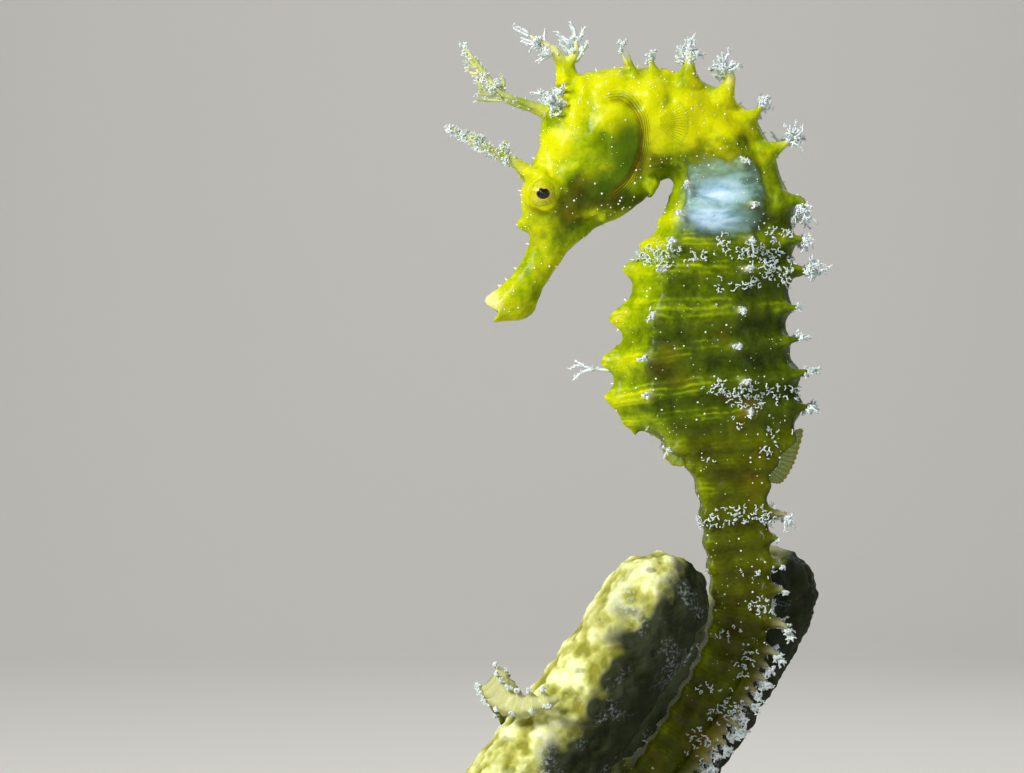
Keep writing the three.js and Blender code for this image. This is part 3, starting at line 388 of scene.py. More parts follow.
# The display stand: a turned base and two rods, each with its place and the height of its top.
BASE_RADIUS = 38
BASE_HEIGHT = 8
BASE_EDGE = 1.2
FOOT_EDGE = 0.6
WAIST_FOOT = 2.6
WAIST_HEIGHT = 1.6
WAIST_DEPTH = 0.55
ROD_RADIUS = 1.5
ROD_EASE = 0.25
ROD_SEAT = 5
RODS = {"stem": (-22.4, -7.6, 23.0), "rear": (0.1, 12.0, 31.7)}

# The camera: where it stands, and the width of the view at the seahorse's mid-plane.
VIEW_CENTRE = (-17.45, 82.65)
VIEW_DISTANCE = 340
VIEW_WIDTH = 124.928
SENSOR = 36

# The lights: name, place, aim, diameter, power in watts, colour.
LIGHTS = [
    ("key", (-300, -300, 330), (-2, 0, 85), 180, 2.8, (1.0, 0.98, 0.94)),
    ("fill", (320, -300, 160), (-2, 0, 85), 320, 0.25, (0.92, 0.96, 1.0)),
    ("rim", (160, 300, 300), (-2, 0, 85), 220, 0.2, (1.0, 1.0, 1.0)),
    ("wall", (0, 250, 700), (0, 900, 150), 600, 1.6, (1.0, 1.0, 1.0)),
]

# Where random draws start from, so that a piece is the same each time.
SEEDS = {"head_tufts": 101, "spine_tufts": 202, "cirri": 303, "warts": 404, "front": 51, "rear": 61}

BUILT = {}


# -------------------------------- arrays and curves


def unit(v):
    """Vectors divided by their lengths."""
    return v / np.maximum(np.linalg.norm(v, axis=-1, keepdims=True), 1e-12)


def ease(x, low, high):
    """0 below low, 1 above high, and 3s^2 - 2s^3 at a share s of the way between them."""
    s = np.clip((x - low) / (high - low), 0, 1)
    return s * s * (3 - 2 * s)


def bell(x, width):
    """A bell curve: 1 at 0, falling to 0.37 at the given width."""
    return np.exp(-(x / width) ** 2)


def cubic(a, b, c, d, f):
    """The point a share f of the way from b to c on a cubic whose slope at b is half the step
    from a to c, and at c half that from b to d."""
    return b + 0.5 * f * (c - a + f * (2 * a - 5 * b + 4 * c - d + f * (3 * (b - c) + d - a)))


def catmull(points, t):
    """A curve through points, of one cubic between each two; t counts the points passed."""
    p = np.asarray(points, float)
    p = np.vstack([2 * p[:1] - p[1:2], p, 2 * p[-1:] - p[-2:-1]])
    t = np.clip(np.asarray(t, float), 0, len(p) - 3)
    i = np.minimum(t.astype(int), len(p) - 4)
    return cubic(p[i], p[i + 1], p[i + 2], p[i + 3], (t - i)[..., None])


def even_curve(points, count):
    """Evenly spaced points on the curve through points, the unit tangents and its length."""
    t = np.linspace(0, len(points) - 1, 40 * len(points))
    dense = catmull(points, t)
    run = np.concatenate([[0], np.cumsum(np.linalg.norm(np.diff(dense, axis=0), axis=1))])
    even = catmull(points, np.interp(np.linspace(0, run[-1], count), run, t))
    return even, unit(np.gradient(even, axis=0)), run[-1]


def mirrored(points, side):
    """Points of the right side, or their mirror images for the left."""
    return np.array(points, float) * [1, side, 1]


def circle(across, over, sides):
    """Points round circles of radius 1 in the planes of two directions."""
    angle = np.linspace(0, 2 * np.pi, sides, endpoint=False)[:, None]
    return across[..., None, :] * np.cos(angle) + over[..., None, :] * np.sin(angle)


def wall_quads(rows, sides):
    """The quads of a wall of rows of points, each row closed round."""
    i = np.arange(rows - 1)[:, None] * sides
    j = np.arange(sides)
    k = (j + 1) % sides
    return np.stack([i + j, i + k, i + k + sides, i + j + sides], -1)


def value_noise(points, seed):
    """Smooth noise from 0 to 1: a random number at each corner of a lattice of size 1, joined by
    smooth steps along each axis."""
    base = np.floor(points).astype(np.int64)
    f = points - base
    f = f * f * (3 - 2 * f)
    total = np.zeros(len(points))
    for corner in np.ndindex(2, 2, 2):
        c = base + corner
        h = (c[:, 0] * 73856093) ^ (c[:, 1] * 19349663) ^ (c[:, 2] * 83492791) ^ (seed * 2654435761)
        h = (h ^ (h >> 13)) * 1274126177 & 0x7FFFFFFF
        h = (h ^ (h >> 15)) & 0xFFFF
        weight = np.prod(np.where(corner, f, 1 - f), axis=1)
        total += weight * h / 0xFFFF
    return total


# -------------------------------- meshes


class Surface:
    """Vertices in mm, with quads and triangles, gathered from closed parts."""

    def __init__(self):
        self.points = []
        self.quads = []
        self.tris = []
        self.uvs = []
        self.count = 0

    def add(self, points, quads, tris=None, uvs=None):
        """Adds one part's vertices and faces."""
        self.points.append(points.reshape(-1, 3))
        self.quads.append(quads.reshape(-1, 4) + self.count)
        if tris is not None:
            self.tris.append(tris.reshape(-1, 3) + self.count)
        if uvs is not None:
            self.uvs.append(uvs.reshape(-1, 2))
        self.count += len(self.points[-1])

    def tube(self, rows):
        """Adds a tube over rows of points, closed by a fan at each end, and turns it inside out if
        its volume, the sum of a . (b x c) over its triangles, is negative."""
        n, sides = rows.shape[:2]
        quads = wall_quads(n, sides)
        low = np.insert(quads[0][:, [1, 0]], 2, n * sides, axis=1)
        high = np.insert(quads[-1][:, [3, 2]], 2, n * sides + 1, axis=1)
        fans = np.vstack([low, high])
        quads = quads.reshape(-1, 4)
        points = np.vstack([rows.reshape(-1, 3), rows[0].mean(0), rows[-1].mean(0)])
        triangles = np.vstack([quads[:, :3], quads[:, [0, 2, 3]], fans])
        corner = (points - points.mean(0))[triangles]
        volume = np.einsum("ij,ij->", corner[:, 0], np.cross(corner[:, 1], corner[:, 2]))
        turn = -1 if volume < 0 else 1
        self.add(points, quads[:, ::turn], fans[:, ::turn])

    def mesh(self, name, scale=MM):
        """The gathered parts as one smooth mesh, in metres unless another scale is given."""
        points = np.vstack(self.points) * scale
        quads = np.vstack(self.quads)
        tris = np.vstack(self.tris) if self.tris else np.zeros((0, 3), int)
        loops = np.concatenate([quads.ravel(), tris.ravel()])
        starts = np.concatenate([np.arange(len(quads)) * 4, len(quads) * 4 + np.arange(len(tris)) * 3])
        mesh = bpy.data.meshes.new(name)
        mesh.vertices.add(len(points))
        mesh.vertices.foreach_set("co", points.astype(np.float32).ravel())
        mesh.loops.add(len(loops))
        mesh.loops.foreach_set("vertex_index", loops.astype(np.int32))
        mesh.polygons.add(len(starts))
        mesh.polygons.foreach_set("loop_start", starts.astype(np.int32))
        mesh.update(calc_edges=True)
        mesh.shade_smooth()
        if self.uvs:
            uvs = np.vstack(self.uvs)[loops]
            layer = mesh.uv_layers.new(name="OFBake")
            layer.uv.foreach_set("vector", uvs.astype(np.float32).ravel())
        return mesh


def around(path, tangents, radii, sides):
    """Rows of a round tube: circles of the given radii square to the tangents."""
    across = unit(np.cross(tangents, np.where(np.abs(tangents[:, 1:2]) > 0.9, [1.0, 0, 0], RIGHT)))
    spread = circle(across, np.cross(tangents, across), sides)
    return path[:, None] + spread * np.asarray(radii, float)[:, None, None]


def limb_rows(points, radii, sides=12, step=0.25):
    """A tapering limb along the curve through points, its radius on a curve through the radii,
    closed by a round tip."""
    length = np.linalg.norm(np.diff(points, axis=0), axis=1).sum()
    count = max(int(length / step), 6)
    path, tangents, _ = even_curve(np.asarray(points, float), count)
    share = np.linspace(0, 1, count)
    width = catmull(np.asarray(radii, float)[:, None], share * (len(radii) - 1))[:, 0]
    tip = np.clip((1 - share) * length / max(radii[-1], 0.05), 0, 1)
    return around(path, tangents, width * np.sqrt(np.clip(1 - (1 - tip) ** 2, 0.02, 1)), sides)


def linked(name, data):
    """A new object in the scene, made of a mesh, a lamp or a camera."""
    made = bpy.data.objects.new(name, data)
    bpy.context.scene.collection.objects.link(made)
    return made


def shown(name, mesh, material, slot, *nodes):
    """A finished piece: its mesh with a material, riding on the body and standing for nodes."""
    piece = linked(name, mesh)
    mesh.materials.clear()
    mesh.materials.append(material)
    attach(piece, "root")
    if nodes:
        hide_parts(*nodes)


def set_attributes(mesh, masks):
    """Masks for a material to read: by name, one number for each vertex."""
    for name, values in masks.items():
        attribute = mesh.attributes.new(name, "FLOAT", "POINT")
        attribute.data.foreach_set("value", values.astype(np.float32))


# -------------------------------- the body's coordinates

STATION_TABLE = np.array(BODY_STATIONS)
UPPER_LINE = STATION_TABLE[:, 0:2]
LOWER_LINE = STATION_TABLE[:, 2:4]
HALF_LINE = STATION_TABLE[:, 4:5]
LAST_STATION = len(BODY_STATIONS) - 1


def outline_controls(shape):
    """The 16 control points round a section, right side then left, from the back."""
    corners, swell = CORNERS[shape]
    corners = np.array(corners, float)
    middles = (corners[1:] + corners[:-1]) / 2 * swell
    half = np.empty((9, 2))
    half[0::2] = corners
    half[1::2] = middles
    return np.vstack([half, half[7:0:-1] * [1, -1]])


STATION_OUTLINES = np.stack([outline_controls(shape) for shape in STATION_SHAPES])
TAIL_OUTLINE = outline_controls("tail")


def ring_outline(controls, count, sharpness):
    """Points round a section: the smooth curve through its controls, mixed with the straight
    outline by sharpness."""
    t = np.arange(count) * 16 / count
    i = t.astype(int)
    f = (t - i)[:, None]
    a, b, c, d = (controls[:, (i + k) % 16] for k in (-1, 0, 1, 2))
    smooth = cubic(a, b, c, d, f)
    straight = b + (c - b) * f
    return smooth + (straight - smooth) * np.asarray(sharpness)[:, None, None]


def body_frames(stations):
    """Centre, up, side, half depth, half breadth and outline controls at station numbers."""
    upper = catmull(UPPER_LINE, stations)
    lower = catmull(LOWER_LINE, stations)
    half = catmull(HALF_LINE, stations)[:, 0]
    i = np.clip(stations.astype(int), 0, LAST_STATION - 1)
    f = (stations - i)[:, None, None]
    controls = STATION_OUTLINES[i] + (STATION_OUTLINES[i + 1] - STATION_OUTLINES[i]) * f
    middle = (upper + lower) / 2
    span = upper - lower
    depth = np.linalg.norm(span, axis=1) / 2
    centre = np.stack([middle[:, 0], np.zeros(len(middle)), middle[:, 1]], -1)
    up = unit(np.stack([span[:, 0], np.zeros(len(span)), span[:, 1]], -1))
    side = np.broadcast_to(RIGHT, up.shape)
    return centre, up, side, depth, half, controls


def wrap_points():
    """The wrap's points in space, set out along the branch's axis and round it."""
    origin = np.array(BRANCH_PATH[1])
    axis = unit(np.array(BRANCH_PATH[2]) - origin)
    right = np.array([-axis[2], 0, axis[0]])
    turn, along, off = np.array(TAIL_WRAP_POINTS).T
    turn = np.radians(turn)
    return (origin + axis * along[:, None] + right * (off * np.cos(turn))[:, None]
            + RIGHT * (off * np.sin(turn))[:, None])


TAIL_CENTRES, TAIL_TANGENTS, TAIL_LENGTH = even_curve(np.vstack([TAIL_PATH, wrap_points()]), 1201)
TAIL_SHARES = np.linspace(0, 1, len(TAIL_CENTRES))


def tail_up():
    """The direction of the tail's back: in the mid-plane at first, then away from the branch."""
    branch = even_curve(np.array(BRANCH_PATH), 81)[0]
    gap = np.linalg.norm(TAIL_CENTRES[:, None] - branch, axis=2)
    outwards = unit(TAIL_CENTRES - branch[gap.argmin(1)])
    in_plane = -np.cross(RIGHT, TAIL_TANGENTS)
    blend = ease(TAIL_SHARES, *TAIL_WRAP)[:, None]
    up = in_plane + (outwards - in_plane) * blend
    return unit(up - TAIL_TANGENTS * (up * TAIL_TANGENTS).sum(1, keepdims=True))


TAIL_UP = tail_up()
TAIL_SIDE = unit(np.cross(TAIL_TANGENTS, TAIL_UP))


def ring_share(ring):
    """The part of the tail's length at which a ring lies: rings crowd towards the tip."""
    share = (ring - TAIL_FIRST) / (TAIL_LAST - TAIL_FIRST)
    return (1 + TAIL_CROWDING) * share - TAIL_CROWDING * share**2


def share_ring(share):
    """The ring number at a part of the tail's length: the inverse of ring_share."""
    c = TAIL_CROWDING
    root = (1 + c - np.sqrt(np.maximum((1 + c) ** 2 - 4 * c * share, 0))) / (2 * c)
    return TAIL_FIRST + root * (TAIL_LAST - TAIL_FIRST)


def tail_depth(share):
    """Half depth of the tail, tapering evenly and rounded off at the tip."""
    blunt = np.clip((share - TAIL_BLUNT_FROM) / (1 - TAIL_BLUNT_FROM), 0, 1)
    return (TAIL_HALF[0] + (TAIL_HALF[1] - TAIL_HALF[0]) * share) * np.sqrt(1 - 0.9 * blunt**2)


def tail_frames(share):
    """Centre, up, side, half depth, half breadth and controls at parts of the tail's length."""
    pick = share * (len(TAIL_SHARES) - 1)
    i = np.clip(pick.astype(int), 0, len(TAIL_SHARES) - 2)
    f = (pick - i)[:, None]
    centre, up, side = (line[i] + (line[i + 1] - line[i]) * f
                        for line in (TAIL_CENTRES, TAIL_UP, TAIL_SIDE))
    depth = tail_depth(share)
    controls = np.broadcast_to(TAIL_OUTLINE, (len(share), 16, 2))
    return centre, unit(up), unit(side), depth, depth * TAIL_BREADTH_RATIO, controls


def place(frames, outline, scale):
    """Rows in space: outline points p, q set out along up by p depths and along side by q breadths,
    with the skin's depth taken off."""
    centre, up, side, depth, half, _ = frames
    tall = (depth * scale - SKIN_DEPTH)[:, None, None]
    wide = (half * scale - SKIN_DEPTH)[:, None, None]
    return (centre[:, None] + up[:, None] * outline[..., 0:1] * tall
            + side[:, None] * outline[..., 1:2] * wide)


def body_coordinates(points):
    """For points near the body: ring number along it, height p and breadth q in its section. On
    head and trunk the section line passes through the point, on the tail the nearest one counts."""
    t = np.linspace(0, FIRST_RING + TAIL_JOIN_RING, 540)
    upper, lower = catmull(UPPER_LINE, t), catmull(LOWER_LINE, t)
    span = upper - lower
    span2 = (span**2).sum(1)
    half = catmull(HALF_LINE, t)[:, 0]
    ring, p, q, near = (np.zeros(len(points)) for _ in range(4))
    parts = np.array_split(np.arange(len(points)), max(len(points) // 6000, 1))
    for part in parts:
        flat = points[part][:, [0, 2]]
        rel = flat[:, None] - lower
        v = np.clip((rel * span).sum(2) / span2, 0, 1)
        gap = ((rel - v[..., None] * span) ** 2).sum(2)
        k = gap.argmin(1)
        rows = np.arange(len(part))
        side = (span[:, 0] * rel[..., 1] - span[:, 1] * rel[..., 0]) / np.sqrt(span2)
        before, after = np.maximum(k - 1, 0), np.minimum(k + 1, len(t) - 1)
        f0, f1 = side[rows, before], side[rows, after]
        w = np.clip(np.where(np.abs(f0 - f1) > 1e-9, f0 / (f0 - f1 + 1e-12), 0.5), 0, 1)
        station = t[before] + w * (t[after] - t[before])
        ring[part] = station - FIRST_RING
        p[part] = 2 * (rel[rows, k] * span[k]).sum(1) / span2[k] - 1
        q[part] = points[part, 1] / half[k]
        near[part] = gap[rows, k] + np.maximum(p[part] ** 2 + q[part] ** 2 - 1, 0)
    step = 3
    centres = TAIL_CENTRES[::step]
    for part in parts:
        gap = ((points[part][:, None] - centres) ** 2).sum(2)
        k = gap.argmin(1) * step
        rel = points[part] - TAIL_CENTRES[k]
        share = TAIL_SHARES[k] + (rel * TAIL_TANGENTS[k]).sum(1) / TAIL_LENGTH
        share = np.clip(share, 0, 1)
        depth = tail_depth(share)
        tail_p = (rel * TAIL_UP[k]).sum(1) / depth
        tail_q = (rel * TAIL_SIDE[k]).sum(1) / depth / TAIL_BREADTH_RATIO
        use = (share > 0.001) & (tail_p**2 + tail_q**2 < 9) & (points[part, 2] < TAIL_TOP)
        use &= (points[part, 2] < TAIL_SURE) | (near[part] > 0.5)
        ring[part] = np.where(use, TAIL_JOIN_RING - TAIL_FIRST + share_ring(share), ring[part])
        p[part] = np.where(use, tail_p, p[part])
        q[part] = np.where(use, tail_q, q[part])
    return ring, p, q


# -------------------------------- the skin


def spine_list():
    """Every spine as arrays: start, bend, tip, and a table of root radius, tuft size and tuft's
    hang. A spine stands on a corner of the section and leans to the head."""
    groups = []

    def gather(frames, corner, reach, lean, forwards, form, splay=1.0, hands=(-1, 1)):
        centre, up, side, depth, half, _ = frames
        form = np.column_stack(np.broadcast_arrays(*form, reach)[:3])
        for hand in hands:
            p, q = corner[:, 0], corner[:, 1] * hand
            foot = centre + up * (p * depth)[:, None] + side * (q * half)[:, None]
            out = unit(up * p[:, None] + side * (q * splay)[:, None])
            bend = foot + out * (0.45 * reach)[:, None] + forwards * (0.15 * lean)[:, None]
            tip = foot + out * reach[:, None] + forwards * lean[:, None]
            groups.append([foot - out * 0.9, bend, tip, form])

    def body_group(corner_index, rings, reach, lean, form, **where):
        rings = np.array(rings, float)
        frames = body_frames(FIRST_RING + rings)
        ahead = body_frames(FIRST_RING + rings - 0.5)[0]
        corner = frames[5][:, corner_index]
        extra = (1 - corner[:, 0]) * frames[3] if corner_index == UPPER_CORNER else 0
        ones = np.ones(len(rings))
        gather(frames, corner, reach * ones + extra, lean * ones, unit(ahead - frames[0]), form, **where)

    ring, reach, lean, *form = np.array(UPPER_SPINES).T
    body_group(UPPER_CORNER, ring, reach, lean, form, splay=SPINE_SPLAY)
    for corner_index, rings, reach, root in NODULES:
        body_group(corner_index, rings, reach, 0.0, (root, 0.0, 0.0))
    rings, reach, root = np.array(KEEL_SPINES).T
    body_group(KEEL_CORNER, rings, reach, -0.5, (root, 0.0, 0.0), hands=(1,))

    rings = np.arange(1, TAIL_SPINE_LAST + 1)
    own = np.array(TAIL_SPINE_REACH)[rings % len(TAIL_SPINE_REACH)]
    own = np.where(rings < TAIL_FRINGE_FROM, own, np.maximum(own, TAIL_FRINGE_REACH))
    between = np.arange(TAIL_FRINGE_FROM, TAIL_SPINE_DENSE) + 0.5
    share = ring_share(np.concatenate([rings, between]))
    own = np.concatenate([own, np.full(len(between), 0.8 * TAIL_FRINGE_REACH)])
    reach = own + (0.75 - own) * ease(share, *TAIL_SPINE_FADE)
    frames = tail_frames(share)
    corner = np.tile(TAIL_OUTLINE[UPPER_CORNER], (len(share), 1))
    pick = (share * (len(TAIL_SHARES) - 1)).astype(int)
    form = (np.minimum(0.85, 0.45 * frames[3]), 0.2 * reach, 0.25)
    gather(frames, corner, reach, -0.25 * reach, -TAIL_TANGENTS[pick], form, SPINE_SPLAY)
    return [np.concatenate(column) for column in zip(*groups)]


def stalk_share(tuft):
    """How much of a spine is flesh: all with no tuft, SPINE_STALK of it under a big one."""
    return 1 - (1 - SPINE_STALK) * np.clip(tuft / 0.9, 0, 1)


def skin_surface():
    """The flesh as closed surfaces that run into one another: body, tail, spines and head parts."""
    surface = Surface()
    stations = np.linspace(0, FIRST_RING + TAIL_JOIN_RING + 0.3, BODY_GRID[0])
    ring = stations - FIRST_RING
    frames = body_frames(stations)
    ridged = ease(ring, -1.5, 3.0)
    groove = (TRUNK_GROOVE + (TAIL_GROOVE - TRUNK_GROOVE) * ease(ring, 9.5, 11)) * (ring > -0.5)
    scale = 1 - groove * np.sin(np.pi * ring) ** 2
    surface.tube(place(frames, ring_outline(frames[5], BODY_GRID[1], 0.75 * ridged), scale))
    share = np.linspace(0, 1, TAIL_GRID[0])
    frames = tail_frames(share)
    scale = 1 - TAIL_GROOVE * np.sin(np.pi * share_ring(share)) ** 2
    surface.tube(place(frames, ring_outline(frames[5], TAIL_GRID[1], np.full(len(share), 0.6)), scale))

    starts, bends, tips, forms = spine_list()
    for start, bend, tip, (root, tuft, _) in zip(starts, bends, tips, forms):
        end = start + (tip - start) * stalk_share(tuft)
        keel = abs(tip[1]) < 0.01
        radii = (1.5 * root, 0.85 * root, max(0.4 * root, 0.3), max(0.25 * root, 0.22))
        radii = (1.5 * root, 1.0 * root, 0.7 * root, 0.5 * root) if keel else radii
        rows = limb_rows([start, start + (bend - start) * 0.5, bend, end], radii, 12, SKIN_STEP)
        surface.tube(rows * ([1, KEEL_THINNESS, 1] if keel else [1, 1, 1]))
    roots = [(filament_root(*line), FILAMENT_ROOT_RADII, 14) for line in FILAMENT_LINES]
    for side in SIDES.values():
        for points, radii, sides in (*CORONET_LIMBS, *roots, THROAT_SPINE, BROW_ARCH, JAW_SPINE):
            surface.tube(limb_rows(mirrored(points, side), radii, sides, SKIN_STEP))
        eye = mirrored(EYE_CENTRE, side)
        surface.tube(orbit_rows(eye, side))
        surface.tube(mound_rows(eye, side))
    points, radii, sides = NOSE_SPINE
    surface.tube(limb_rows(np.array(points), radii, sides, SKIN_STEP))
    return surface


def filament_root(*line):
    """Points of the flesh round a filament's root, from inside the head to a third of the way to
    the line's second point."""
    first, second = np.array(line)
    inner = first + (first - second) * 0.25
    outer = first + (second - first) * 0.35
    return [inner, (inner + outer) / 2, outer]


def mound_rows(eye, side):
    """A ball under the eye, as circles stacked along Y, on which the socket's rim stands."""
    angle = np.linspace(0.03, np.pi - 0.03, 24)
    centre = eye + np.array([0, -MOUND_IN * side, 0])
    path = centre + RIGHT * (-MOUND_RADIUS * np.cos(angle) * side)[:, None]
    return around(path, np.tile(RIGHT, (len(angle), 1)), MOUND_RADIUS * np.sin(angle), 40)


def orbit_rows(eye, side):
    """The rim of an eye socket: a low ring, as a tube bent round a circle and closed."""
    turn = np.linspace(0, 2 * np.pi, 65)
    c, s, level = np.cos(turn), np.sin(turn), np.ones(len(turn))
    path = eye + np.stack([ORBIT_RADIUS * c, ORBIT_OUT * side * level, ORBIT_RADIUS * s], -1)
    return around(path, np.stack([-s, 0 * level, c], -1), ORBIT_THICKNESS + 0.04 * np.sin(5 * turn), 14)


def open_mouth(points):
    """Points with those in the gape, a wedge between two lip lines, moved back on to it: towards
    the corner, by the distance from the nearer line over the sine of the wedge's half angle. Gives
    a mask of the gape too."""
    upper, lower = unit(np.array(LIP_LINES, float))
    rel = points[:, [0, 2]] - MOUTH_CORNER
    from_upper = upper[0] * rel[:, 1] - upper[1] * rel[:, 0]
    from_lower = lower[1] * rel[:, 0] - lower[0] * rel[:, 1]
    inside = np.maximum(np.minimum(from_upper, from_lower), 0)
    inward = -unit(upper + lower)
    half_sine = math.sin(math.acos(np.clip(upper @ lower, -1, 1)) / 2)
    moved = points.copy()
    moved[:, [0, 2]] += inside[:, None] / half_sine * inward
    for centre, push, width in LIP_ROLLS:
        near = bell(np.hypot(*(points[:, [0, 2]] - centre).T), width)
        moved[:, [0, 2]] += near[:, None] * push
    return moved, ease(inside, 0.1, 0.8)


def relaxed(points, edges, times, amount=0.5):
    """Points moved towards the mean of their neighbours."""
    count = np.bincount(edges.ravel(), minlength=len(points))[:, None]
    for _ in range(times):
        total = np.zeros_like(points)
        for axis in range(3):
            total[:, axis] = (np.bincount(edges[:, 0], points[edges[:, 1], axis], len(points))
                              + np.bincount(edges[:, 1], points[edges[:, 0], axis], len(points)))
        points = points + (total / np.maximum(count, 1) - points) * amount
    return points


def move_vertices(mesh, points):
    """Puts a mesh's vertices at places given in mm."""
    mesh.vertices.foreach_set("co", (points * MM).astype(np.float32).ravel())
    mesh.update()


def mesh_arrays(mesh, scale=MM):
    """Vertex places in mm, edges and vertex normals of a mesh, held in metres unless told."""
    points = np.empty(len(mesh.vertices) * 3, np.float32)
    mesh.vertices.foreach_get("co", points)
    edges = np.empty(len(mesh.edges) * 2, np.int32)
    mesh.edges.foreach_get("vertices", edges)
    normals = np.empty(len(mesh.vertices) * 3, np.float32)
    mesh.vertex_normals.foreach_get("vector", normals)
    return points.reshape(-1, 3) / scale, edges.reshape(-1, 2), normals.reshape(-1, 3).astype(float)


def dome(x, z, centre, half):
    """A bell seen from the side: 1 at the centre, 0.37 on the oval of the half sizes."""
    return np.exp(-(((x - centre[0]) / half[0]) ** 2 + ((z - centre[1]) / half[1]) ** 2))


def oval(x, z, centre, half):
    """Distance from a centre seen from the side, 1 on the oval of the half sizes."""
    return np.hypot((x - centre[0]) / half[0], (z - centre[1]) / half[1])


def sculpt(points, ring, p, q):
    """How far each skin point moves along its normal, in mm, and the masks for its colours."""
    x, y, z = points.T
    head = 1 - ease(ring, -1.0, 0.5)
    trunk = ease(ring, 2.5, 5.0) * (1 - ease(ring, 9.6, 10.6))
    tail = ease(ring, 9.8, 11.0)
    wobble = value_noise(points * 0.35, 3) - 0.5

    # Trunk: a crest at each ring, thin ridges along it, and a hollow between the crests.
    phase = ring + 0.10 * wobble
    crest = np.cos(2 * np.pi * phase)
    thin = ease(np.cos(10 * np.pi * phase), 0.1, 0.9) * ease(crest, -0.1, 0.5)
    move = trunk * (0.13 * crest + 0.10 * thin * ease(-p, -0.5, 0.0))
    move += tail * (0.06 * crest + 0.04 * thin)

    # Head: the gill cover's bulge, the groove behind it, and swirling folds past the groove.
    dx, dz = x - GILL_CENTRE[0], z - GILL_CENTRE[1]
    c, s = math.cos(GILL_TILT), math.sin(GILL_TILT)
    along, across = (dx * c - dz * s) / GILL_HALF[0], (dx * s + dz * c) / GILL_HALF[1]
    gill = np.hypot(along, across)
    rear = ease((along * math.cos(GILL_REAR) + across * math.sin(GILL_REAR))
                      / np.maximum(gill, 0.05), -0.25, 0.55)
    sides_only = ease(np.abs(y), 1.8, 3.0) * head
    bulge = np.clip(1 - gill**2, 0, 1) ** 0.5
    move += sides_only * (0.35 * bulge * (0.35 + 0.65 * rear) - 0.26 * bell(gill - 1.07, 0.07) * rear)
    for centre, half, height in HEAD_LUMPS:
        move += (1.6 * height * dome(x, z, centre, half) * ease(np.abs(y), 0.8, 2.0)
                 * (1 - ease(ring, 4, 5)))
    for start, end, width, height in HEAD_RIDGES:
        start, line = np.array(start), np.array(end) - np.array(start)
        share = np.clip(((x - start[0]) * line[0] + (z - start[1]) * line[1]) / (line @ line), 0, 1)
        away = np.hypot(x - start[0] - share * line[0], z - start[1] - share * line[1])
        move += height * bell(away, width) * ease(np.abs(y), 0.8, 2.0)

    # Soft lumps everywhere, smaller on the face.
    lumps = value_noise(points * 1.1, 5) - 0.5
    grain = value_noise(points * 2.6, 7) - 0.5
    knots = value_noise(points * 0.62, 6) - 0.5
    move += 0.16 * lumps + 0.07 * grain + 0.35 * head * ease(ring, -10, -7) * knots

    # How yellow the skin is, 0 deep olive to 1 lemon: by ring and by belly and back, partly the skin's own
    # colour and partly painted shade that darkens the trunk's middle and the tail and leaves the belly's
    # edge lighter; by height of the relief, as painted light on the raised parts and painted shade in the
    # grooves; and by broad clouds.
    clouds = value_noise(points * 0.32, 15) - 0.5
    tone = np.interp(ring, TONE_RINGS, TONE_LEVELS)
    body = ease(ring, 2.0, 5.0) * (1 - ease(ring, 24, 32))
    tone += body * (0.42 * ease(-p, 0.45, 0.85) * (1 - 0.6 * tail)
                    + 0.03 * ease(p, -0.15, 0.75))
    # Painted light on raised relief and painted shade in its grooves, with broad clouds of the skin's own
    # tone.
    tone += 0.5 * (move - 0.1 * trunk) * (1 - 0.4 * tail) + (0.2 + 0.15 * head) * clouds
    # Darker places on the head: partly the skin's own colour, partly painted shade.
    for centre, half, depth in HEAD_SHADES:
        tone -= depth * dome(x, z, centre, half) * (ring < 4)
    throat = ease(-(z - 104.5 - 0.35 * (x + 6)), -1.0, 2.5) * (ring > -8.5) * head
    green = oval(x, z, GREEN_CENTRE, GREEN_HALF)
    green = sides_only * (1 - ease(green + 0.8 * clouds, 0.15, 1.1)) * (gill < 1.06)
    spot = oval(x, z, PATCH_CENTRE, PATCH_HALF)
    spot += 0.4 * (value_noise(points * 0.45, 9) - 0.5) + 0.2 * (value_noise(points * 1.2, 10) - 0.5)
    on_flank = ease(np.abs(q), 0.35, 0.75)
    masks = {
        "tone": tone + 0.12 * lumps,
        "green": green,
        "brown": sides_only * np.maximum(bell(gill - 1.06, 0.06) * rear, 0.6 * throat) + 0.15 * tail,
        "whorl": gill,
        "whorled": sides_only * rear * bell(gill - 1.16, 0.12),
        "phase": phase,
        "ridged": np.maximum((trunk + 0.4 * tail) * (0.25 + 0.75 * ease(-p, -0.45, 0.05)),
                             ease(ring, 34, 40)),
        "spot": spot + 3 * (1 - on_flank),
        "core": on_flank * np.maximum.reduce([bell(oval(x, z, *core), 0.85) for core in PATCH_CORES]),
        "tip": np.maximum.reduce([
            (1 - 0.6 * tail) * ease(np.hypot(p, q) - 0.1 * tail, 1.2, 1.6) * (ring > -2.2),
            ease(z, 121.8, 124.2) * head, nodule_mask(points), 0.7 * ease(ring, 36, 41)]),
        "lip": ease(-(x + 0.3 * (z - 92)), 17.8, 20.2) * ease(z, 91.1, 92.9) * (ring < -10),
    }
    return move, masks


def nodule_mask(points):
    """1 at the tips of the blunt side spines, fading to 0 over 0.8 mm."""
    _, _, tips, forms = spine_list()
    mask = np.zeros(len(points))
    for tip in tips[(forms[:, 1] == 0) & (np.abs(tips[:, 1]) > 1)]:
        near = ((points - tip) ** 2).sum(1)
        mask = np.maximum(mask, np.exp(-near / 0.8**2))
    return mask


